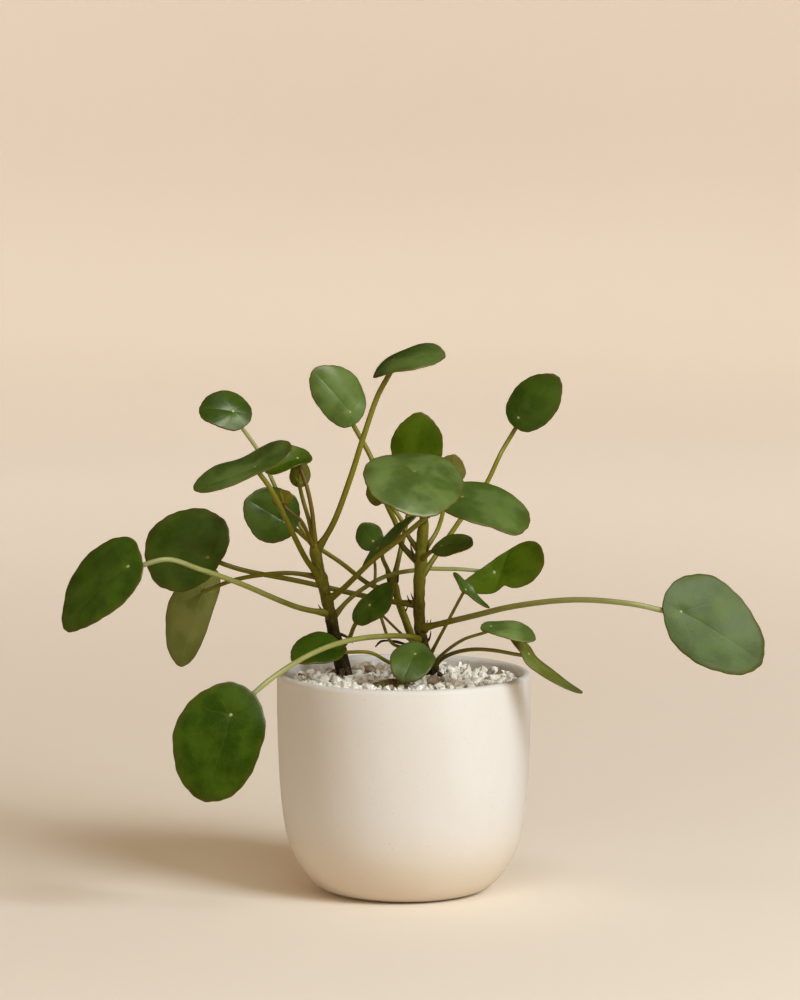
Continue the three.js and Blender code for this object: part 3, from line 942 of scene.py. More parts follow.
@dataclass(frozen=True)
class Scale:
    """A dry scale or root spur: where it leaves its stem, the way it points, its length and how it curls.

    The side is measured round the stem in degrees, 0 being +X and 90 being +Y. Lift is its angle above the
    level where it starts, and curl how much steeper it is at its end.
    """

    stem: str
    height: float
    side: float
    lift: float
    length: float
    curl: float = 0.0
    thick: float = 0.7

    def form(self, trunk: Trunk) -> Form:
        """Grows the scale out of its stem.

        Args:
            trunk: the stem.

        Returns:
            The scale, wide at its foot and pointed at its end.
        """
        side = math.radians(self.side)
        out = np.array([math.cos(side), math.sin(side), 0.0])
        thickness = float(trunk.radius(np.array([self.height]))[0])
        # It starts inside the stem, leaves it level and then curls in two steps
        points = [trunk.at_height(self.height) + out * 0.6 * thickness]
        points.append(points[0] + out * 0.4 * thickness)
        for share in (0.25, 0.75):
            lift = math.radians(self.lift + self.curl * share)
            way = out * math.cos(lift) + np.array([0.0, 0.0, math.sin(lift)])
            points.append(points[-1] + way * self.length / 2)
        line = Course([tuple(point) for point in points]).even(0.5)
        share = np.linspace(0, 1, len(line))
        return tube(line, self.thick * ((1 - share) ** 0.7 + 0.1), SCALE_SIDES, self.height)


def scale_table() -> list[Scale]:
    """Lists the scales at the stems' nodes and the root spurs at their feet.

    Returns:
        The scales.
    """
    left, middle, right = "left_stem", "middle_stem", "right_stem"
    return [
        Scale(left, 138, 185, 40, 5, 25),
        Scale(left, 137, 170, 5, 3.5, -20, 0.6),
        Scale(left, 146, 350, 60, 4.5, 20, 0.6),
        Scale(left, 126.5, 350, -10, 8, -50, 0.9),
        Scale(left, 107, 200, -10, 8, -35, 1.3),
        Scale(left, 106, 330, -15, 8, -30, 1.4),
        Scale(left, 107.5, 262, -30, 7, -35, 1.9),
        Scale(left, 108, 300, -40, 6, -25, 1.9),
        Scale(middle, 151, 190, 66, 8, 14, 0.9),
        Scale(middle, 152, 350, 76, 5.5, 10),
        Scale(middle, 137, 340, 55, 4, 20, 0.5),
        Scale(right, 142, 185, 35, 6, 45),
        Scale(right, 145, 200, 60, 4, 15, 0.5),
        Scale(right, 128, 355, 55, 7, 30),
        Scale(right, 123.5, 340, 50, 6, 45),
        Scale(right, 131, 20, 60, 3.5, 20, 0.5),
        Scale(right, 165, 205, 62, 9, 18, 1.0),
        Scale(right, 168, 330, 70, 7, 12, 0.8),
        Scale(right, 107, 330, -15, 7, -30, 1.2),
        Scale(right, 106.5, 215, -20, 7, -30, 1.2),
    ]


@dataclass(frozen=True)
class Lump:
    """A clod or stone of its own: its middle, its length, width and height, and how far it is turned."""

    name: str
    middle: Point
    size: Point
    turned: float
    roughened: float
    seed: float
    # How free of dust and painted shade it is
    unshaded: float = 0.8
    rings: int = 15
    sides: int = 28

    def form(self) -> Form:
        """Shapes the lump from rings that wander in and out.

        Returns:
            The lump, with the value tone, how free of dust and painted shade it is.
        """
        turn = once_round(self.sides)
        spin = math.radians(self.turned)
        c, s = math.cos(spin), math.sin(spin)
        turned = np.array([[c, s, 0], [-s, c, 0], [0, 0, 1]])
        rows = []
        for i in range(1, self.rings + 1):
            fall = math.pi * i / (self.rings + 1)
            wander = np.sin(3 * turn + 2.1 * fall + self.seed) + np.sin(5 * turn - 3 * fall + 2 * self.seed)
            wander = wander + 0.7 * np.sin(9 * turn + 7 * fall - self.seed) * math.sin(fall)
            out = (1 + self.roughened * wander) / 2
            ball = level_ring(math.sin(fall), math.cos(fall), turn)
            rows.append(((self.size * ball * out[:, None]) @ turned)[::-1] + self.middle)
        top, bottom = rows[0].mean(0), rows[-1].mean(0)
        form = skin(rows, tuple(top), tuple(bottom))
        form.values["tone"] = np.full(len(form.points), self.unshaded)
        return form


@dataclass
class Litter:
    """What has dropped on the gravel and dried on the stems."""

    plant: "Plant"
    twig: tuple[Point, ...] = (
        (0.0, 23.0, 120.6), (-6.0, 19.0, 122.6), (-11.5, 16.5, 122.8), (-14.4, 15.5, 120.2),
    )
    twig_height: float = 117.0
    clod: Lump = Lump("mossy_clod", (-5.5, -19.0, 105.6), (19.0, 17.0, 6.5), 12.0, 0.09, 1.3)
    stones: tuple[Lump, ...] = (
        Lump("brown_stone_front", (14.5, -9.0, 107.0), (9.5, 5.2, 5.0), 62.0, 0.04, 2.2),
        Lump("brown_stone_back", (-17.0, 26.0, 107.0), (7.0, 5.4, 4.6), 110.0, 0.05, 5.3),
    )

    def build(self) -> None:
        """Grows the scales and lays the rest."""
        dry = DryFinish().make()
        for name, trunk in self.plant.trunks.items():
            scales = [scale.form(trunk) for scale in scale_table() if scale.stem == name]
            Form.joined(scales).piece(f"{trunk.name}_scales", "stem", [], [dry])
            log.info("scales of the %s grown", trunk.name)
        start = self.plant.trunks["middle_stem"].at_height(self.twig_height)
        line = Course([tuple(start), *self.twig]).even(0.6)
        share = np.linspace(0, 1, len(line))
        knobbly = 0.85 - 0.55 * share + 0.25 * np.sin(9 * share) ** 2
        tube(line, knobbly, SCALE_SIDES, 5.0).piece("dry_twig", "stem", [], [dry])
        self.clod.form().piece(self.clod.name, "soil", [], [MossFinish().make()])
        brown = StoneFinish("odd_stone", tint(186, 168, 142), tint(128, 110, 88)).make()
        for stone in self.stones:
            stone.form().piece(stone.name, "gravel", [], [brown])
        log.info("litter laid")


# The blades


@dataclass(frozen=True)
class BladeFinish:
    """One side of a blade: clouded greens, paler patches that are partly painted sheen and light, a pale hub,
    radiating veins, and a brown edge.
    """

    name: str
    deep: Colour
    light: Colour
    vein: Colour
    # A bluish pale green: partly the leaf's own paler patches, partly painted sheen and light
    pale: Colour
    edge: Colour
    hub: Colour
    edge_start: float = 0.985
    tinge_start: float = 0.82
    vein_count: int = 8
    vein_strength: float = 0.08
    vein_depth: float = -0.025
    net_strength: float = 0.05
    relief_depth: float = 0.12
    fine_depth: float = 0.035
    roughness: float = 0.31
    roughness_range: float = 0.045
    dulling: float = 0.2
    specular: float = 0.27
    mirror: Colour = (1.0, 0.97, 0.68)

    def veins(self, g: Graph, flat: Socket, radius: Socket, rim: Socket) -> Socket:
        """Draws the midrib and the veins that run out from the hub.

        Args:
            g: the material's nodes.
            flat: the place on the blade before it was bent.
            radius: the distance from the hub.
            rim: 1 at the blade's edge.

        Returns:
            How strongly a vein shows, 0 to 1.
        """
        u, v, _ = g.split(flat)
        bent = g.times(g.wander(g.noise(flat, 0.07, 2), 1.1), g.ramp(radius, 2, 22))
        angle = g.plus(g.math("ARCTAN2", v, u), bent)
        sector = 2 * math.pi / self.vein_count
        apart = g.times(g.times(g.math("PINGPONG", g.times(angle, 1 / sector), 0.5), sector), radius)
        vein = g.times(g.ramp(apart, 0.12, 0.75, 1.0, 0.0), g.ramp(rim, 0.35, 0.9, 1.0, 0.12))
        midrib = g.times(g.ramp(g.math("ABSOLUTE", v), 0.1, 0.6, 1.0, 0.0), g.ramp(u, 0.5, 3.0))
        return g.math("MAXIMUM", vein, g.times(midrib, g.ramp(rim, 0.6, 0.98, 1.0, 0.2)))

    def make(self) -> Material:
        """Makes the material.

        Returns:
            The material.
        """
        g = Graph(self.name, self.roughness, self.specular, self.mirror)
        flat, rim = g.vector("flat"), g.number("rim")
        radius = g.vector_math("LENGTH", g.stretched(flat, (1.0, 1.0, 0.0)))
        clouds, fine = g.noise(flat, 0.085, 4, 0.55), g.noise(flat, 0.9, 3, 0.6)
        colour = g.mix(g.ramp(clouds, 0.36, 0.66), self.deep, self.light)
        colour = g.mix(g.ramp(fine, 0.42, 0.72, 0.0, 0.22), colour, self.light)
        # Paler patches where the blade's paling is high: partly the leaf's own paler green, partly painted
        # sheen and light on blades that face the lamps
        patches = g.ramp(g.noise(flat, 0.055, 3, 0.5), 0.4, 0.6, 0.55, 1.3)
        colour = g.mix(g.times(g.number("age"), patches), colour, self.pale)

        vein = self.veins(g, flat, radius, rim)
        net = g.ramp(g.cells(flat, 0.34), 0.02, 0.09, 1.0, 0.0)
        marks = g.math("MAXIMUM", g.times(vein, self.vein_strength), g.times(net, self.net_strength))
        colour = g.mix(marks, colour, self.vein)
        colour = g.mix(g.ramp(radius, 0.8, 4.0, 0.1, 0.0), colour, self.vein)
        colour = g.mix(g.ramp(radius, 0.25, 0.85, 0.7, 0.0), colour, self.hub)
        worn = g.plus(rim, g.wander(g.noise(flat, 0.22, 3), 0.05))
        colour = g.mix(g.ramp(worn, self.tinge_start, self.edge_start, 0.0, 0.22), colour, self.edge)
        colour = g.mix(g.ramp(worn, self.edge_start, 1.0, 0.0, 0.6), colour, self.edge)

        coarse = g.plus(g.times(vein, self.vein_depth / self.relief_depth), g.times(clouds, 1.5))
        normal = g.relief(fine, self.fine_depth, g.relief(coarse, self.relief_depth))
        waxy = g.plus(g.times(clouds, 0.3), g.times(fine, 0.12))
        smooth, rough = self.roughness - self.roughness_range, self.roughness + self.roughness_range
        dull = g.times(g.number("dull"), self.dulling)
        return g.finish(colour, g.plus(g.ramp(waxy, 0.08, 0.36, smooth, rough), dull), normal)


class BladeLook(Enum):
    """How old a blade is, with the three greens of its upper side and of its underside, dark to light."""

    MATURE = (
        (tint(39, 61, 0), tint(58, 82, 4), tint(104, 122, 48)),
        (tint(80, 96, 28), tint(100, 110, 46), tint(132, 138, 78)),
    )
    FRESH = (
        (tint(57, 78, 0), tint(75, 96, 5), tint(118, 136, 52)),
        (tint(70, 82, 10), tint(92, 98, 22), tint(124, 128, 58)),
    )
    OLIVE = (
        (tint(74, 72, 4), tint(96, 90, 12), tint(134, 126, 50)),
        (tint(80, 81, 3), tint(99, 91, 9), tint(126, 114, 36)),
    )

    def finishes(self) -> list[BladeFinish]:
        """Gives the blade's finishes.

        Returns:
            The finishes of the upper side and the underside.
        """
        brown, cream = tint(88, 72, 22), tint(214, 212, 150)
        name = self.name.lower()
        upper, under = self.value
        # The fourth colour of each side is the pale green of the paling, made bluish to paint sheen
        return [
            BladeFinish(f"{name}_leaf_upper", *upper, tint(126, 146, 80), brown, cream),
            BladeFinish(
                f"{name}_leaf_underside", *under, tint(140, 138, 74), brown, under[-1],
                vein_strength=0.3, vein_depth=0.2, roughness=0.6, specular=0.2,
            ),
        ]


# Waves of a blade's outline: share of its width, how many there are, and share of its phase
WAVES = ((0.006, 5, 1), (0.004, 9, -1), (0.003, 21, 2))
# Rings and spokes of a blade's mesh, for a blade wider than so many millimetres
BLADE_STEPS = ((30, 26, 160), (15, 22, 112), (0, 14, 80))
# The dimple over a stalk, as shares of its depth with their spread in millimetres
DIMPLE = ((1.0, 2.6), (0.45, 7.0))
FOLD_SPREAD = 3.0
STALK_SIDES = 16


@dataclass
class Leaf:
    """A blade and the stalk that carries it.

    The stalk leaves its stem at a height, bends through the points in via and ends under the hub. The
    blade runs from the hub to its tip, and its upper side faces the way that faces says. Arch bends it
    along its length and curl bends its sides down, in degrees. Back is the share of its length behind the
    hub, lean how far it bows to one side, skew how far its back end lies to that side, egg makes it wider
    behind its middle, nib is the length of its little point, and thick is the stalk's radius. Crease is
    the depth of the fold along its midrib. Its paling is how far its green is painted paler, partly as its
    own paler patches and partly as painted sheen and light where it faces the lamps, and dull how far its
    wax has gone dull, from 0 to 1. Each of the dents is an angle round the outline, how wide it is, in
    degrees, and how far it stands out. Fold is a fold across the blade: a point on it, its angle to the
    midrib and its depth. Ripple, pillow and sway are the heights of its waves: those at its edge, those
    between its veins and those all over it.
    """

    name: str
    stem: str
    height: float
    via: tuple[Point, ...]
    hub: Point
    tip: Point
    faces: Point
    width: float
    arch: float
    curl: float
    back: float
    nib: float = 0.7
    egg: float = 0.1
    lean: float = 0.0
    skew: float = 0.0
    thick: float = 1.35
    crease: float = 0.25
    age: float = 0.0
    dull: float = 0.0
    dents: tuple[Point, ...] = ()
    fold: tuple[float, float, float, float] = (0.0, 0.0, 0.0, 0.0)
    look: BladeLook = BladeLook.MATURE
    tone: StalkTone = StalkTone.OLIVE
    phase: float = 0.0
    thickness: float = 0.8
    ripple: float = 0.8
    pillow: float = 0.12
    sway: float = 0.26

    @property
    def dimple(self) -> float:
        """Gives the depth of the dimple over the stalk, less on a small blade."""
        return 0.011 * self.width

    def basis(self) -> np.ndarray:
        """Finds how the blade lies.

        Returns:
            Its directions as columns: to the tip, across, and up.
        """
        along = np.subtract(self.tip, self.hub)
        along = along / np.linalg.norm(along)
        up = np.array(self.faces, float)
        up = up - along * up.dot(along)
        up = up / np.linalg.norm(up)
        pitch = -math.radians(self.arch) / 2
        c, s = math.cos(pitch), math.sin(pitch)
        pitched = np.array([[c, 0, s], [0, 1, 0], [-s, 0, c]])
        return np.column_stack([along, np.cross(up, along), up]) @ pitched

    def reach(self) -> float:
        """Gives the flat length from the hub to the tip."""
        half = math.radians(self.arch) / 2
        return float(np.linalg.norm(np.subtract(self.tip, self.hub))) * half / math.sin(half)

    def outline(self, turn: np.ndarray) -> np.ndarray:
        """Draws the flat outline.

        Args:
            turn: angles round the blade, 0 at its tip, from minus to plus pi.

        Returns:
            The outline's points, from the hub.
        """
        length = self.reach() / (1 - self.back)
        middle = self.reach() - length / 2
        point = self.nib * np.maximum(0, 1 - np.abs(turn) / 0.7) ** 1.5
        u = middle + (length / 2 - self.nib) * np.cos(turn) + point
        bow = self.lean * np.sin(turn) ** 2 + self.skew * (1 - np.cos(turn)) / 2
        v = self.width / 2 * np.sin(turn) * (1 - self.egg * np.cos(turn)) + bow
        form = np.stack([u, v], -1)
        away = form - (middle, 0.0)
        away /= np.linalg.norm(away, axis=-1, keepdims=True)
        waves = [size * np.sin(count * turn + share * self.phase) for size, count, share in WAVES]
        out = self.width * sum(waves)
        for angle, spread, depth in self.dents:
            gap = (np.degrees(turn) - angle + 180) % 360 - 180
            out = out + depth * hump(gap, 0.0, spread)
        return form + away * out[..., None]

    @staticmethod
    def bend(distance: np.ndarray, rate: float, height: np.ndarray) -> tuple[np.ndarray, np.ndarray]:
        """Bends a distance round an arc that drops below the straight line.

        Args:
            distance: how far along the line.
            rate: the bend, in radians to a millimetre.
            height: how far above the line.

        Returns:
            The new distance and height.
        """
        radius = 1 / rate + height
        return radius * np.sin(distance * rate), radius * np.cos(distance * rate) - 1 / rate

    def lifted(self, u: np.ndarray, v: np.ndarray) -> np.ndarray:
        """Finds where flat points of the blade come to lie once it is curled, waved, creased and arched.

        Args:
            u: distance from the hub towards the tip.
            v: distance across.

        Returns:
            The points in the blade's own directions.
        """
        reach = self.reach()
        edge = np.hypot(u / reach, 2 * v / self.width)
        angle = np.arctan2(v, u)
        run = np.hypot(u, v)
        ripple = self.ripple * edge**2 * np.sin(3 * angle + self.phase)
        inside = np.clip(1 - edge, 0, 1)
        pillow = -self.pillow * edge * inside * np.cos(4 * angle + 0.6 * np.sin(self.phase + run * 0.15))
        wander = self.sway * edge * np.sin(u * 0.24 + self.phase) * np.cos(v * 0.27 - 2 * self.phase)
        pit = -self.dimple * sum(share * hump(run, 0.0, spread) for share, spread in DIMPLE)
        along = soft_step(u, 0.0, 3.0) * (1 - soft_step(u, 0.7 * reach, reach))
        fold = -self.crease * np.exp(-np.abs(v) / (0.09 * self.width)) * along
        at_u, at_v, angle, depth = self.fold
        aside = (u - at_u) * math.sin(math.radians(angle)) - (v - at_v) * math.cos(math.radians(angle))
        fold = fold - depth * np.exp(-np.abs(aside) / FOLD_SPREAD)
        height = ripple + pillow + wander + pit + fold
        across, droop = self.bend(v, math.radians(self.curl) / self.width, 0 * v)
        forward, up = self.bend(u, math.radians(self.arch) / reach, droop + height)
        return np.stack([forward, across, up], -1)

    def surface(self, flat: np.ndarray) -> tuple[np.ndarray, np.ndarray]:
        """Finds the blade's middle surface and its upward normals at flat points.

        Args:
            flat: distances from the hub towards the tip, and across.

        Returns:
            Places and normals, in the blade's own directions.
        """
        u, v = flat.T
        small = 0.05
        ahead = self.lifted(u + small, v) - self.lifted(u - small, v)
        aside = self.lifted(u, v + small) - self.lifted(u, v - small)
        normal = np.cross(ahead, aside)
        return self.lifted(u, v), normal / np.linalg.norm(normal, axis=-1, keepdims=True)

    def blade(self) -> Form:
        """Grows the blade: two faces a little apart, joined by a rounded edge.

        Returns:
            The blade. Its values are flat, a place on it before it was bent, rim, which is 1 at its edge,
            its paling, which paints paler green and sheen, and dull.
        """
        rings, spokes = next((rings, spokes) for width, rings, spokes in BLADE_STEPS if self.width > width)
        # Spokes stand closer together at the tip, and rings at the hub
        even = once_round(spokes)
        turn = even - 0.3 * np.sin(even)
        turn = np.where(turn > math.pi, turn - 2 * math.pi, turn)
        outline = self.outline(turn)
        inward = outline.mean(0) - outline
        outline = outline + inward / np.linalg.norm(inward, axis=1, keepdims=True) * self.thickness * 0.4
        shares = (np.arange(1, rings + 1) / rings) ** 1.3
        half = self.thickness / 2

        place, normal = self.surface(outline)
        outward = np.cross(np.roll(place, -1, 0) - np.roll(place, 1, 0), normal)
        outward /= np.linalg.norm(outward, axis=1, keepdims=True)
        upper, lower = [], []
        for share in shares:
            middle, up = self.surface(outline * share)
            upper.append((middle + up * half, share))
            lower.insert(0, (middle - up * half, share))
        leans = [math.radians(lean) for lean in (45, 0, -45)]
        edge = [(place + outward * half * math.cos(a) + normal * half * math.sin(a), 1.0) for a in leans]
        rows = [*upper, *edge, *lower]
        centre, up = self.surface(np.zeros((1, 2)))
        top, bottom = (centre + up * half)[0], (centre - up * half)[0]
        form = skin([row for row, _ in rows], tuple(top), tuple(bottom))

        nowhere = np.zeros((1, 2))
        flat = np.concatenate([nowhere, *[outline * share for _, share in rows], nowhere])
        form.values["flat"] = np.column_stack([flat, np.full(len(flat), 17.0 * self.phase)])
        form.values["rim"] = np.concatenate([[0], np.repeat([share for _, share in rows], spokes), [0]])
        form.values["age"] = np.full(len(flat), self.age)
        form.values["dull"] = np.full(len(flat), self.dull)
        upper_points = 1 + (rings + 2) * spokes
        form.finish = [0 if min(face) == 0 or max(face) < upper_points else 1 for face in form.faces]
        form.points = form.points @ self.basis().T + np.array(self.hub)
        return form

    def stalk(self, trunk: Trunk) -> Form:
        """Grows the stalk from the middle of its stem to the blade's underside.

        Args:
            trunk: the stem that it leaves.

        Returns:
            The stalk.
        """
        up = self.basis()[:, 2]
        end = np.array(self.hub) - up * (self.dimple + 0.5)
        way = end - np.array(self.via[-1])
        way /= np.linalg.norm(way)
        # The slanter it arrives, the more its last bit turns square to the blade
        straight = 0.85 * math.sqrt(max(0.0, float(way.dot(up))))
        lead = end - (up * (1 - straight) + way * straight) * 3
        line = Course([tuple(trunk.at_height(self.height)), *self.via, tuple(lead), tuple(end)]).even(1.6)
        run = distances(line)
        # It swells where it leaves the stem and again under the hub
        swelling = 1 + 0.45 * hump(run, trunk.top, 4.5)
        radii = self.thick * (1.06 - 0.16 * (run / run[-1])) * swelling
        radii = radii * (1 + 0.22 * hump(run[-1] - run, 0.0, 1.6))
        return tube(line, radii, STALK_SIDES, 30 + 7 * self.phase)


def leaf_table() -> list[Leaf]:
    """Lists the leaves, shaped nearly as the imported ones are.

    Returns:
        The leaves, each with a phase of its own.
    """
    left, middle, right = "left_stem", "middle_stem", "right_stem"
    fresh, olive = BladeLook.FRESH, BladeLook.OLIVE
    pale, brown = StalkTone.PALE, StalkTone.BROWN
    leaves = [
        Leaf(
            "summit", left, 169, ((-35.5, 6, 183.5), (-27, 4, 206), (-20, 4, 228), (-13, 5, 248)),
            (-5.5, 6, 266), (20, -2, 267), (-0.1, -0.3, 0.95), 36, 45, 25, 0.33, egg=0.12, thick=1.45,
            crease=0.5, age=0.36, dents=((180, 24, -1.3),),
        ),
        Leaf(
            "high_middle", right, 163,
            ((-1, 16, 171.5), (-4, 31, 180.5), (-9, 48, 189.5), (-16.5, 66, 210)), (-27.5, 62, 234.5),
            (-46.5, 58, 256.3), (0.1, -0.85, 0.4), 27, 15, 35, 0.21, lean=-2.5, crease=0.5, age=0.38,
        ),
        Leaf(
            "high_left", left, 172, ((-54, 12, 184.5), (-63, 28, 196), (-73.5, 43, 216)),
            (-86.5, 44, 236.5), (-104, 45, 238), (0.05, -0.75, 0.65), 24, 20, 30, 0.36, nib=0.2, lean=-1,
            thick=1.1, tone=pale, age=0.05,
        ),
        Leaf(
            "front_centre", right, 184, ((9, -10, 195), (7, -45, 207)), (5, -60, 217.5), (9.5, -84, 197),
            (0.12, -0.5, 0.85), 49, 25, 20, 0.38, lean=-1, age=0.44,
        ),
        Leaf(
            "left_slanted", left, 155, ((-48, 2, 165), (-57.5, -21, 187.5), (-65.5, -42, 207)),
            (-72.5, -48, 218), (-102, -54, 207.5), (-0.2, -0.35, 0.92), 30, -15, 15, 0.4, lean=-7,
            age=0.35,
        ),
        Leaf(
            "left_round", middle, 148,
            ((-16, 25, 150), (-32, 20, 162.5), (-47, 18, 173), (-54, 15, 179.5)), (-59.5, 6, 184.5),
            (-79, 5, 196.5), (-0.1, -0.95, 0.3), 28, 25, 20, 0.25, thick=1.15, crease=0.7, age=0.12,
        ),
        Leaf(
            "left_cupped_bud", left, 169, ((-51, -3, 186), (-55, -7, 190)), (-59.5, -4, 194.5),
            (-62, -3, 202), (0.1, 0.95, 0.2), 11, -20, -50, 0.15, thick=0.9, look=olive, tone=brown,
        ),
        Leaf(
            "young_rolled", left, 171, ((-45, 7, 180.5), (-46, 6, 190.5), (-48.5, 5, 202.5)),
            (-53, 6, 216.5), (-69, 0, 210.5), (0, -0.5, 0.85), 20, 10, -70, 0.3, thick=1.1, look=fresh,
            tone=brown, age=0.05,
        ),
        Leaf(
            "young_cupped", left, 171, ((-47.5, 9, 185), (-50.5, 11, 195)), (-52.5, 12, 203.5),
            (-51, 14, 215), (0, 0.9, 0.2), 11, -20, -70, 0.2, thick=1.1, look=olive,
        ),
        Leaf(
            "left_large", right, 142,
            ((-4.5, 15, 143), (-24.5, 23, 146), (-52.5, 30, 151.5), (-83, 35, 157)), (-99.5, 32, 163.5),
            (-131, 50, 170.5), (-0.47, -0.79, 0.4), 45, 15, 15, 0.2, lean=2, skew=-5, age=0.1,
        ),
        Leaf(
            "left_hanging", left, 156, ((-56, 8, 158.5), (-67, 9, 158), (-84, 27, 153)),
            (-103.5, 70, 141.5), (-115.5, 66, 102.5), (-0.45, 0.85, 0.1), 26, 15, -60, 0.25, lean=1.2,
            thick=1.1, age=0.5,
        ),
        Leaf(
            "far_left", left, 137,
            ((-52, 4, 141.5), (-82, -21, 157.5), (-100.5, -38, 166.5), (-116, -52, 173)),
            (-134.5, -55, 170), (-165, -51, 138.5), (-0.45, -0.75, 0.45), 38, 30, 20, 0.18, egg=0.3,
            lean=-1.5, skew=-5.5, tone=pale, age=0.06, dents=((-165, 14, 2.5), (-125, 28, -2.0)),
        ),
        Leaf(
            "low_front_left", right, 124,
            ((1.5, 2, 127.5), (-25, -30.5, 130.5), (-44.5, -52.5, 127), (-65, -74, 117)),
            (-83.5, -84, 101.5), (-96, -86, 59.5), (0.1, -0.95, 0.15), 43, 20, 20, 0.27, egg=0.03,
            lean=-2.5, tone=pale,
        ),
        Leaf(
            "rim_left", right, 110, ((0.5, 2, 112), (-7.5, -5.5, 115.5), (-17, -13, 121.5)),
            (-34, -15, 125), (-56, -23, 119.5), (-0.15, -0.65, 0.75), 23, 20, 20, 0.17, lean=-2,
            thick=0.95,
        ),
        Leaf(
            "middle_edge_on", middle, 150, ((-8, 22, 158), (-10.5, 12, 165)), (-13, 2, 172),
            (7, 0, 188.5), (-0.6, -0.3, 0.7), 14, 20, 20, 0.36, thick=1.1, age=0.2,
        ),
        Leaf(
            "right_broad", left, 144,
            ((-31.5, 6, 150), (-16.5, -10.5, 166.5), (-3, -25.5, 179), (17.5, -42, 197)),
            (28.5, -44, 203), (61, -50, 189.5), (0.3, -0.5, 0.8), 36, 20, 20, 0.3, nib=0, egg=-0.1,
            crease=0.1, age=0.33, dents=((-62, 18, -1.5), (-30, 14, 1.2)),
        ),
        Leaf(
            "centre_back", middle, 152, ((-1.5, 30, 168.5), (2, 58, 182), (4.5, 89, 194.5)),
            (6, 84, 208.5), (9, 82, 232.5), (0, -1, 0.1), 27, 20, 20, 0.3, nib=1.0, thick=1.2, crease=0,
            look=fresh,
        ),
        Leaf(
            "right_small", right, 165, ((13.5, -2, 170.5),), (18.5, -14, 175), (33.5, -20, 177),
            (0, -0.5, 0.8), 18, 20, 20, 0.25, nib=0, egg=-0.15, thick=1.1, look=fresh, age=0.25,
            dents=((-20, 25, 1.2),),
        ),
        Leaf(
            "back_olive", right, 168, ((16, 14, 178), (20.5, 30.5, 190)), (23.5, 46, 203.5),
            (25.5, 50, 214), (0, 0.9, 0.3), 15, 20, 20, 0.3, thick=1.1, look=olive,
        ),
        Leaf(
            "small_low_centre", left, 118, ((-27.5, 9, 125.5), (-24, -1, 134.5)), (-17, -11, 145),
            (-5, -13, 155.5), (-0.4, -0.8, 0.4), 15, 10, 20, 0.45, egg=0, lean=-1.5, thick=1.1, age=0.06,
        ),
        Leaf(
            "small_front", right, 112, ((9.5, -7, 118.5),), (5.5, -24, 122.5), (-1, -34, 110),
            (-0.1, -0.8, 0.6), 22, 20, 20, 0.33, nib=0.2, thick=1.2, crease=0.1, age=0.26,
            dents=((150, 20, -1.0),),
        ),
        Leaf(
            "right_curled", left, 134,
            ((-26.5, 17, 145), (-9.5, 18, 155.5), (7.5, 22, 158.5), (21, 48, 155.5), (33, 80, 151)),
            (46.5, 74, 150.5), (71, 68, 163.5), (0.2, -0.75, 0.3), 18.6, -20, 40, 0.4, nib=0, egg=-0.45,
            lean=-2.8, thick=1.1, crease=0, look=fresh, tone=pale, fold=(5.6, 0.9, 46, 1.3),
            dents=((-100, 8, -3.0), (-72, 14, 0.6), (-128, 14, 0.8)),
        ),
        Leaf(
            "small_upper_centre", middle, 118,
            ((-6, 16, 122), (-11.5, 13, 135.5), (-14.5, 12, 146), (-14.5, 16, 161)), (-15.5, 14, 174),
            (-22, 13, 182.5), (0, -0.9, 0.3), 14, 20, 20, 0.3, nib=0.3, thick=0.8, age=0.12,
        ),
        Leaf(
            "centre_olive", right, 168, ((2, 12, 177), (-2, 16, 185.5)), (-10, 20, 197),
            (-18.5, 20, 201.5), (0, 0.9, 0.3), 16, 20, 20, 0.25, thick=1.1, look=olive,
        ),
        Leaf(
            "high_right", right, 155,
            ((18, 18, 169), (29.5, 39.5, 183), (42, 65.5, 197), (50.5, 87, 211.5)), (59, 84, 229.5),
            (80, 80, 250.5), (0, -0.85, 0.4), 25, 20, 20, 0.17, thick=1.25, age=0.07,
        ),
        Leaf(
            "narrow_right", right, 114, ((21, 0, 133.5),), (30.5, -10, 152.5), (42.5, -14, 144),
            (0.4, -0.3, 0.8), 10, -25, -60, 0.42, thick=0.85, age=0.2,
        ),
        Leaf(
            "low_right", right, 110, ((19, 0, 118.5), (30, -28, 130.5)), (42.5, -44, 139),
            (64, -52, 133.5), (0.2, -0.4, 0.85), 17, 20, 20, 0.2, lean=1.5, thick=0.85, age=0.6,
        ),
        Leaf(
            "drooping_right", right, 109, ((20.5, 6, 116.5), (31.5, -11, 122.5), (43.5, -29, 125)),
            (61, -42, 125), (87, -48, 106), (0.5, -0.35, 0.8), 13, -25, 20, 0.36, thick=1.0, look=olive,
            age=0.3,
        ),
        Leaf(
            "far_right", right, 130,
            ((34, -11, 139.5), (55, -32.5, 147.5), (83.5, -54.5, 153.5), (110.5, -70, 153.5)),
            (133.5, -74, 150.5), (173, -76, 125.5), (0.15, -0.88, 0.4), 42, 26, 20, 0.2, egg=0.15,
            lean=-1.5, skew=7.5, thick=1.45, tone=pale, age=0.09, dull=0.7,
        ),
        Leaf(
            "bud_leaf", middle, 120, ((-2, 12, 128),), (-13.5, 3, 141), (-17, 2, 146), (0, -0.9, 0.3), 7,
            20, 20, 0.25, nib=0.3, thick=0.7, look=olive, tone=brown,
        ),
    ]
    for place, leaf in enumerate(leaves):
        leaf.phase = place * 2.4
    return leaves


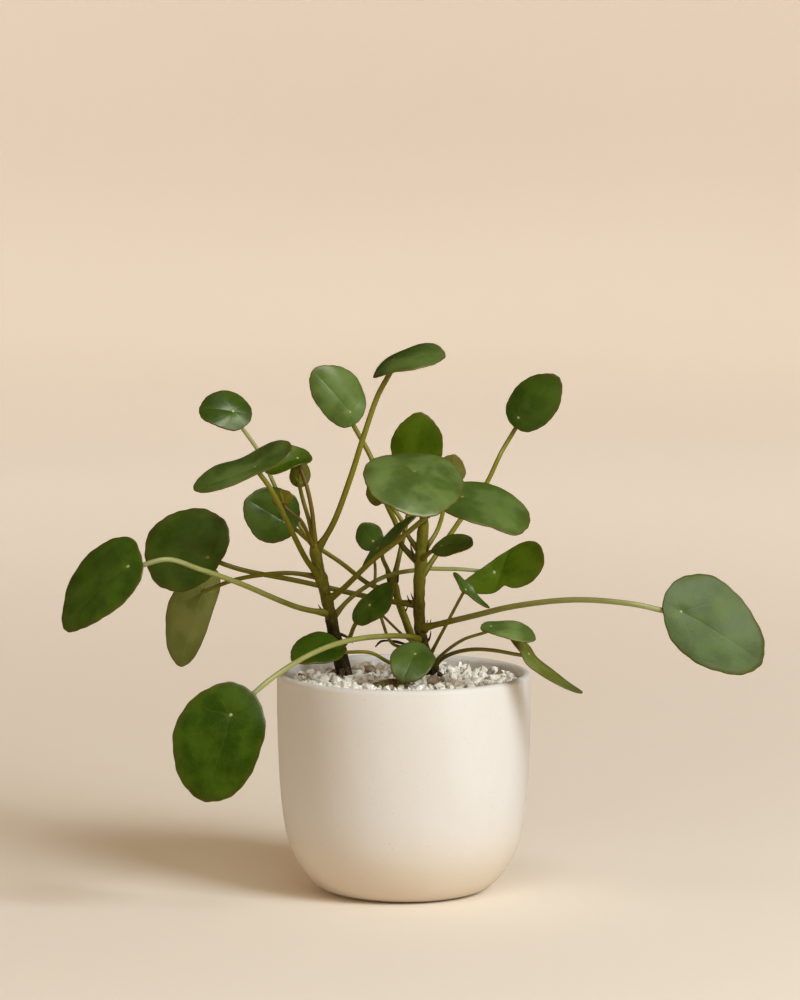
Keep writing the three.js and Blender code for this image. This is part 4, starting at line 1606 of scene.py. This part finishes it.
@dataclass
class Plant:
    """The stems with their stalks and blades."""

    trunks: dict[str, Trunk] = field(default_factory=dict)
    leaves: list[Leaf] = field(default_factory=leaf_table)

    def __post_init__(self) -> None:
        """Plans the three stems."""
        plans = (
            (
                "left_stem", 4.1, 2.9, 133.0, 152.0,
                (
                    (-29, 21, 62), (-30.5, 20, 107), (-35, 17, 126), (-38, 13.5, 142), (-42.5, 9.5, 160),
                    (-45, 7, 173),
                ),
            ),
            (
                "middle_stem", 2.3, 1.9, 104.0, 122.0,
                ((11, 32, 74), (10, 31, 108), (4.5, 28, 122), (-2, 25.5, 140), (-6.5, 24, 156)),
            ),
            (
                "right_stem", 3.4, 2.9, 124.0, 150.0,
                (
                    (17, 18, 62), (14, 16, 107), (9, 13.5, 123), (7.5, 11, 145), (8.5, 9.5, 166),
                    (10, 8, 186),
                ),
            ),
        )
        barks = tint(32, 21, 7), tint(90, 80, 15), tint(114, 109, 24)
        for name, foot, top, low_end, high_start, line in plans:
            finish = BarkFinish(f"{name}_bark", *barks, low_end, high_start)
            nodes = tuple(leaf.height for leaf in self.leaves if leaf.stem == name)
            self.trunks[name] = Trunk(name.replace("stem", "trunk"), name, foot, top, line, finish, nodes)

    def build(self) -> None:
        """Grows the stems, the stalks and the blades."""
        for place, trunk in enumerate(self.trunks.values()):
            trunk.build(place + 1.0)
            log.info("%s grown", trunk.name)
        tones = {tone: tone.value.make() for tone in StalkTone}
        looks = {look: [finish.make() for finish in look.finishes()] for look in BladeLook}
        for leaf in self.leaves:
            stalk = leaf.stalk(self.trunks[leaf.stem])
            stalk.piece(f"stalk_{leaf.name}", "stem", [leaf.stem], [tones[leaf.tone]])
            leaf.blade().piece(f"blade_{leaf.name}", "leaf", [f"leaf_{leaf.name}"], looks[leaf.look])
            log.info("leaf %s grown", leaf.name)


# The studio


@dataclass(frozen=True)
class BackdropFinish:
    """Smooth cream paper with a faint tooth, washed with warm light where it leaves the floor."""

    light: Colour = tint(250, 238, 221)
    shade: Colour = tint(247, 234, 216)
    # The paper is toned down where the key light is close to it, so that it looks even from behind too
    toned: Colour = (0.03, 0.027, 0.024)
    toned_middle: Point = (1.35, -1.22, 0.0)
    toned_reach: tuple[float, float] = (0.3, 1.3)
    toned_share: float = 0.62
    wash: Colour = (0.302, 0.28, 0.258)
    wash_start: float = 0.0
    wash_end: float = 1.9
    high: float = 0.3
    high_share: float = 0.65
    roughness: float = 0.9

    def make(self) -> Material:
        """Makes the material.

        Returns:
            The material.
        """
        g = Graph("cream_paper", self.roughness, 0.2)
        place = g.place()
        clouds = g.noise(place, 1.2, 2)
        colour = g.mix(g.ramp(clouds, 0.3, 0.7), self.light, self.shade)
        near_key = g.vector_math("DISTANCE", place, self.toned_middle)
        colour = g.mix(g.ramp(near_key, *self.toned_reach, self.toned_share, 0.0), colour, self.toned)
        tooth = g.noise(place, 900, 2)
        away = g.ramp(g.vector_math("LENGTH", place), self.wash_start, self.wash_end)
        above = g.ramp(g.split(place)[2], 0.0, self.high, 1.0, self.high_share)
        g.feed(g.shader.inputs["Emission Color"], self.wash)
        g.feed(g.shader.inputs["Emission Strength"], g.times(away, above))
        return g.finish(colour, g.ramp(tooth, 0.3, 0.7, 0.85, 0.95), g.relief(tooth, 0.05))


@dataclass(frozen=True)
class Lamp:
    """A soft light: where it hangs and how large it is, in metres, its power in watts and its colour."""

    name: str
    place: Point
    size: tuple[float, float]
    power: float
    colour: Colour
    mirrored_only: bool = False

    def hang(self, aim: Point) -> None:
        """Hangs the lamp where no camera sees it.

        Args:
            aim: the point that it faces.
        """
        data = bpy.data.lights.new(self.name, "AREA")
        data.shape = "RECTANGLE"
        data.size, data.size_y = self.size
        data.energy = self.power
        data.color = self.colour
        lamp = put_in_scene(self.name, data)
        lamp.location = self.place
        lamp.rotation_euler = (Vector(aim) - Vector(self.place)).to_track_quat("-Z", "Y").to_euler()
        lamp.visible_camera = False
        if self.mirrored_only:
            lamp.visible_diffuse = False


@dataclass
class Studio:
    """The floor that curves up into a wall all round, the lamps and the camera, with sizes in metres."""

    floor_radius: float = 3.2
    bend: float = 1.0
    wall_height: float = 2.6
    floor_steps: int = 6
    bend_steps: int = 12
    sides: int = 96
    camera_place: Point = (-0.002, -2.2, 0.443)
    camera_pitch: float = 6.4
    lens: float = 160.2
    finish: BackdropFinish = BackdropFinish()
    # A large light at the front right, a weak one above, and one that only shows in what is shiny
    lamps: tuple[Lamp, ...] = (
        Lamp("key", (1.8, -1.62, 1.62), (1.2, 1.2), 71.0, (0.81, 0.915, 1.0)),
        Lamp("top", (0.2, -1.3, 2.0), (1.3, 0.8), 6.0, (0.97, 0.98, 1.0)),
        Lamp("sheen", (0.3, -1.0, 1.92), (1.0, 0.8), 42.0, (0.86, 0.94, 1.0), mirrored_only=True),
    )
    aim: Point = (0.0, 0.0, 0.14)
    room: Colour = (0.2, 0.132, 0.054)

    def build(self) -> None:
        """Sets up the whole studio."""
        self.backdrop()
        self.lights()
        self.camera()

    def backdrop(self) -> None:
        """Makes the floor and wall as one bowl, far outside every view's camera."""
        profile = [(self.floor_radius * i / self.floor_steps, 0.0) for i in range(1, self.floor_steps + 1)]
        for i in range(1, self.bend_steps + 1):
            a = i / self.bend_steps * math.pi / 2
            profile.append((self.floor_radius + self.bend * math.sin(a), self.bend * (1 - math.cos(a))))
        profile.append((self.floor_radius + self.bend, self.wall_height))
        turn = once_round(self.sides)
        points = np.concatenate([np.zeros((1, 3)), *[level_ring(r, h, turn) for r, h in profile]])
        sides = [(i, (i + 1) % self.sides) for i in range(self.sides)]
        faces = [(0, 1 + i, 1 + j) for i, j in sides]
        for low in range(1, len(points) - self.sides, self.sides):
            high = low + self.sides
            faces += [(low + i, high + i, high + j, low + j) for i, j in sides]
        mesh = bpy.data.meshes.new("backdrop")
        mesh.from_pydata(points.tolist(), [], faces)
        mesh.polygons.foreach_set("use_smooth", [True] * len(faces))
        mesh.materials.append(self.finish.make())
        backdrop = put_in_scene("backdrop", mesh)
        backdrop.visible_glossy = False

    def lights(self) -> None:
        """Hangs the lamps in an even warm room."""
        for lamp in self.lamps:
            lamp.hang(self.aim)
        world = bpy.data.worlds.new("room")
        world.use_nodes = True
        background = world.node_tree.nodes["Background"]
        background.inputs["Color"].default_value = (*self.room, 1.0)
        background.inputs["Strength"].default_value = 1.0
        world.cycles_visibility.glossy = False
        bpy.context.scene.world = world

    def camera(self) -> None:
        """Sets up the camera at the usual view."""
        data = bpy.data.cameras.new("camera")
        data.sensor_fit = "VERTICAL"
        data.sensor_width = data.sensor_height = 36.0
        data.lens = self.lens
        camera = put_in_scene("camera", data)
        camera.location = self.camera_place
        camera.rotation_euler = (math.radians(90 - self.camera_pitch), 0.0, 0.0)
        bpy.context.scene.camera = camera
        bpy.context.scene.view_settings.view_transform = "Standard"


def main() -> None:
    """Builds the potted plant and its studio."""
    logging.basicConfig(level=logging.INFO, format="%(name)s: %(message)s")
    pot = Pot()
    pot.build()
    log.info("pot turned")
    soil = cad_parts["soil"]
    soil.data.materials.clear()
    soil.data.materials.append(SoilFinish().make())
    log.info("soil dressed")
    plant = Plant()
    plant.build()
    Gravel(pot).build(list(plant.trunks.values()))
    log.info("gravel laid")
    Litter(plant).build()
    Studio().build()
    log.info("studio set up")


if __name__ == "__main__":
    main()
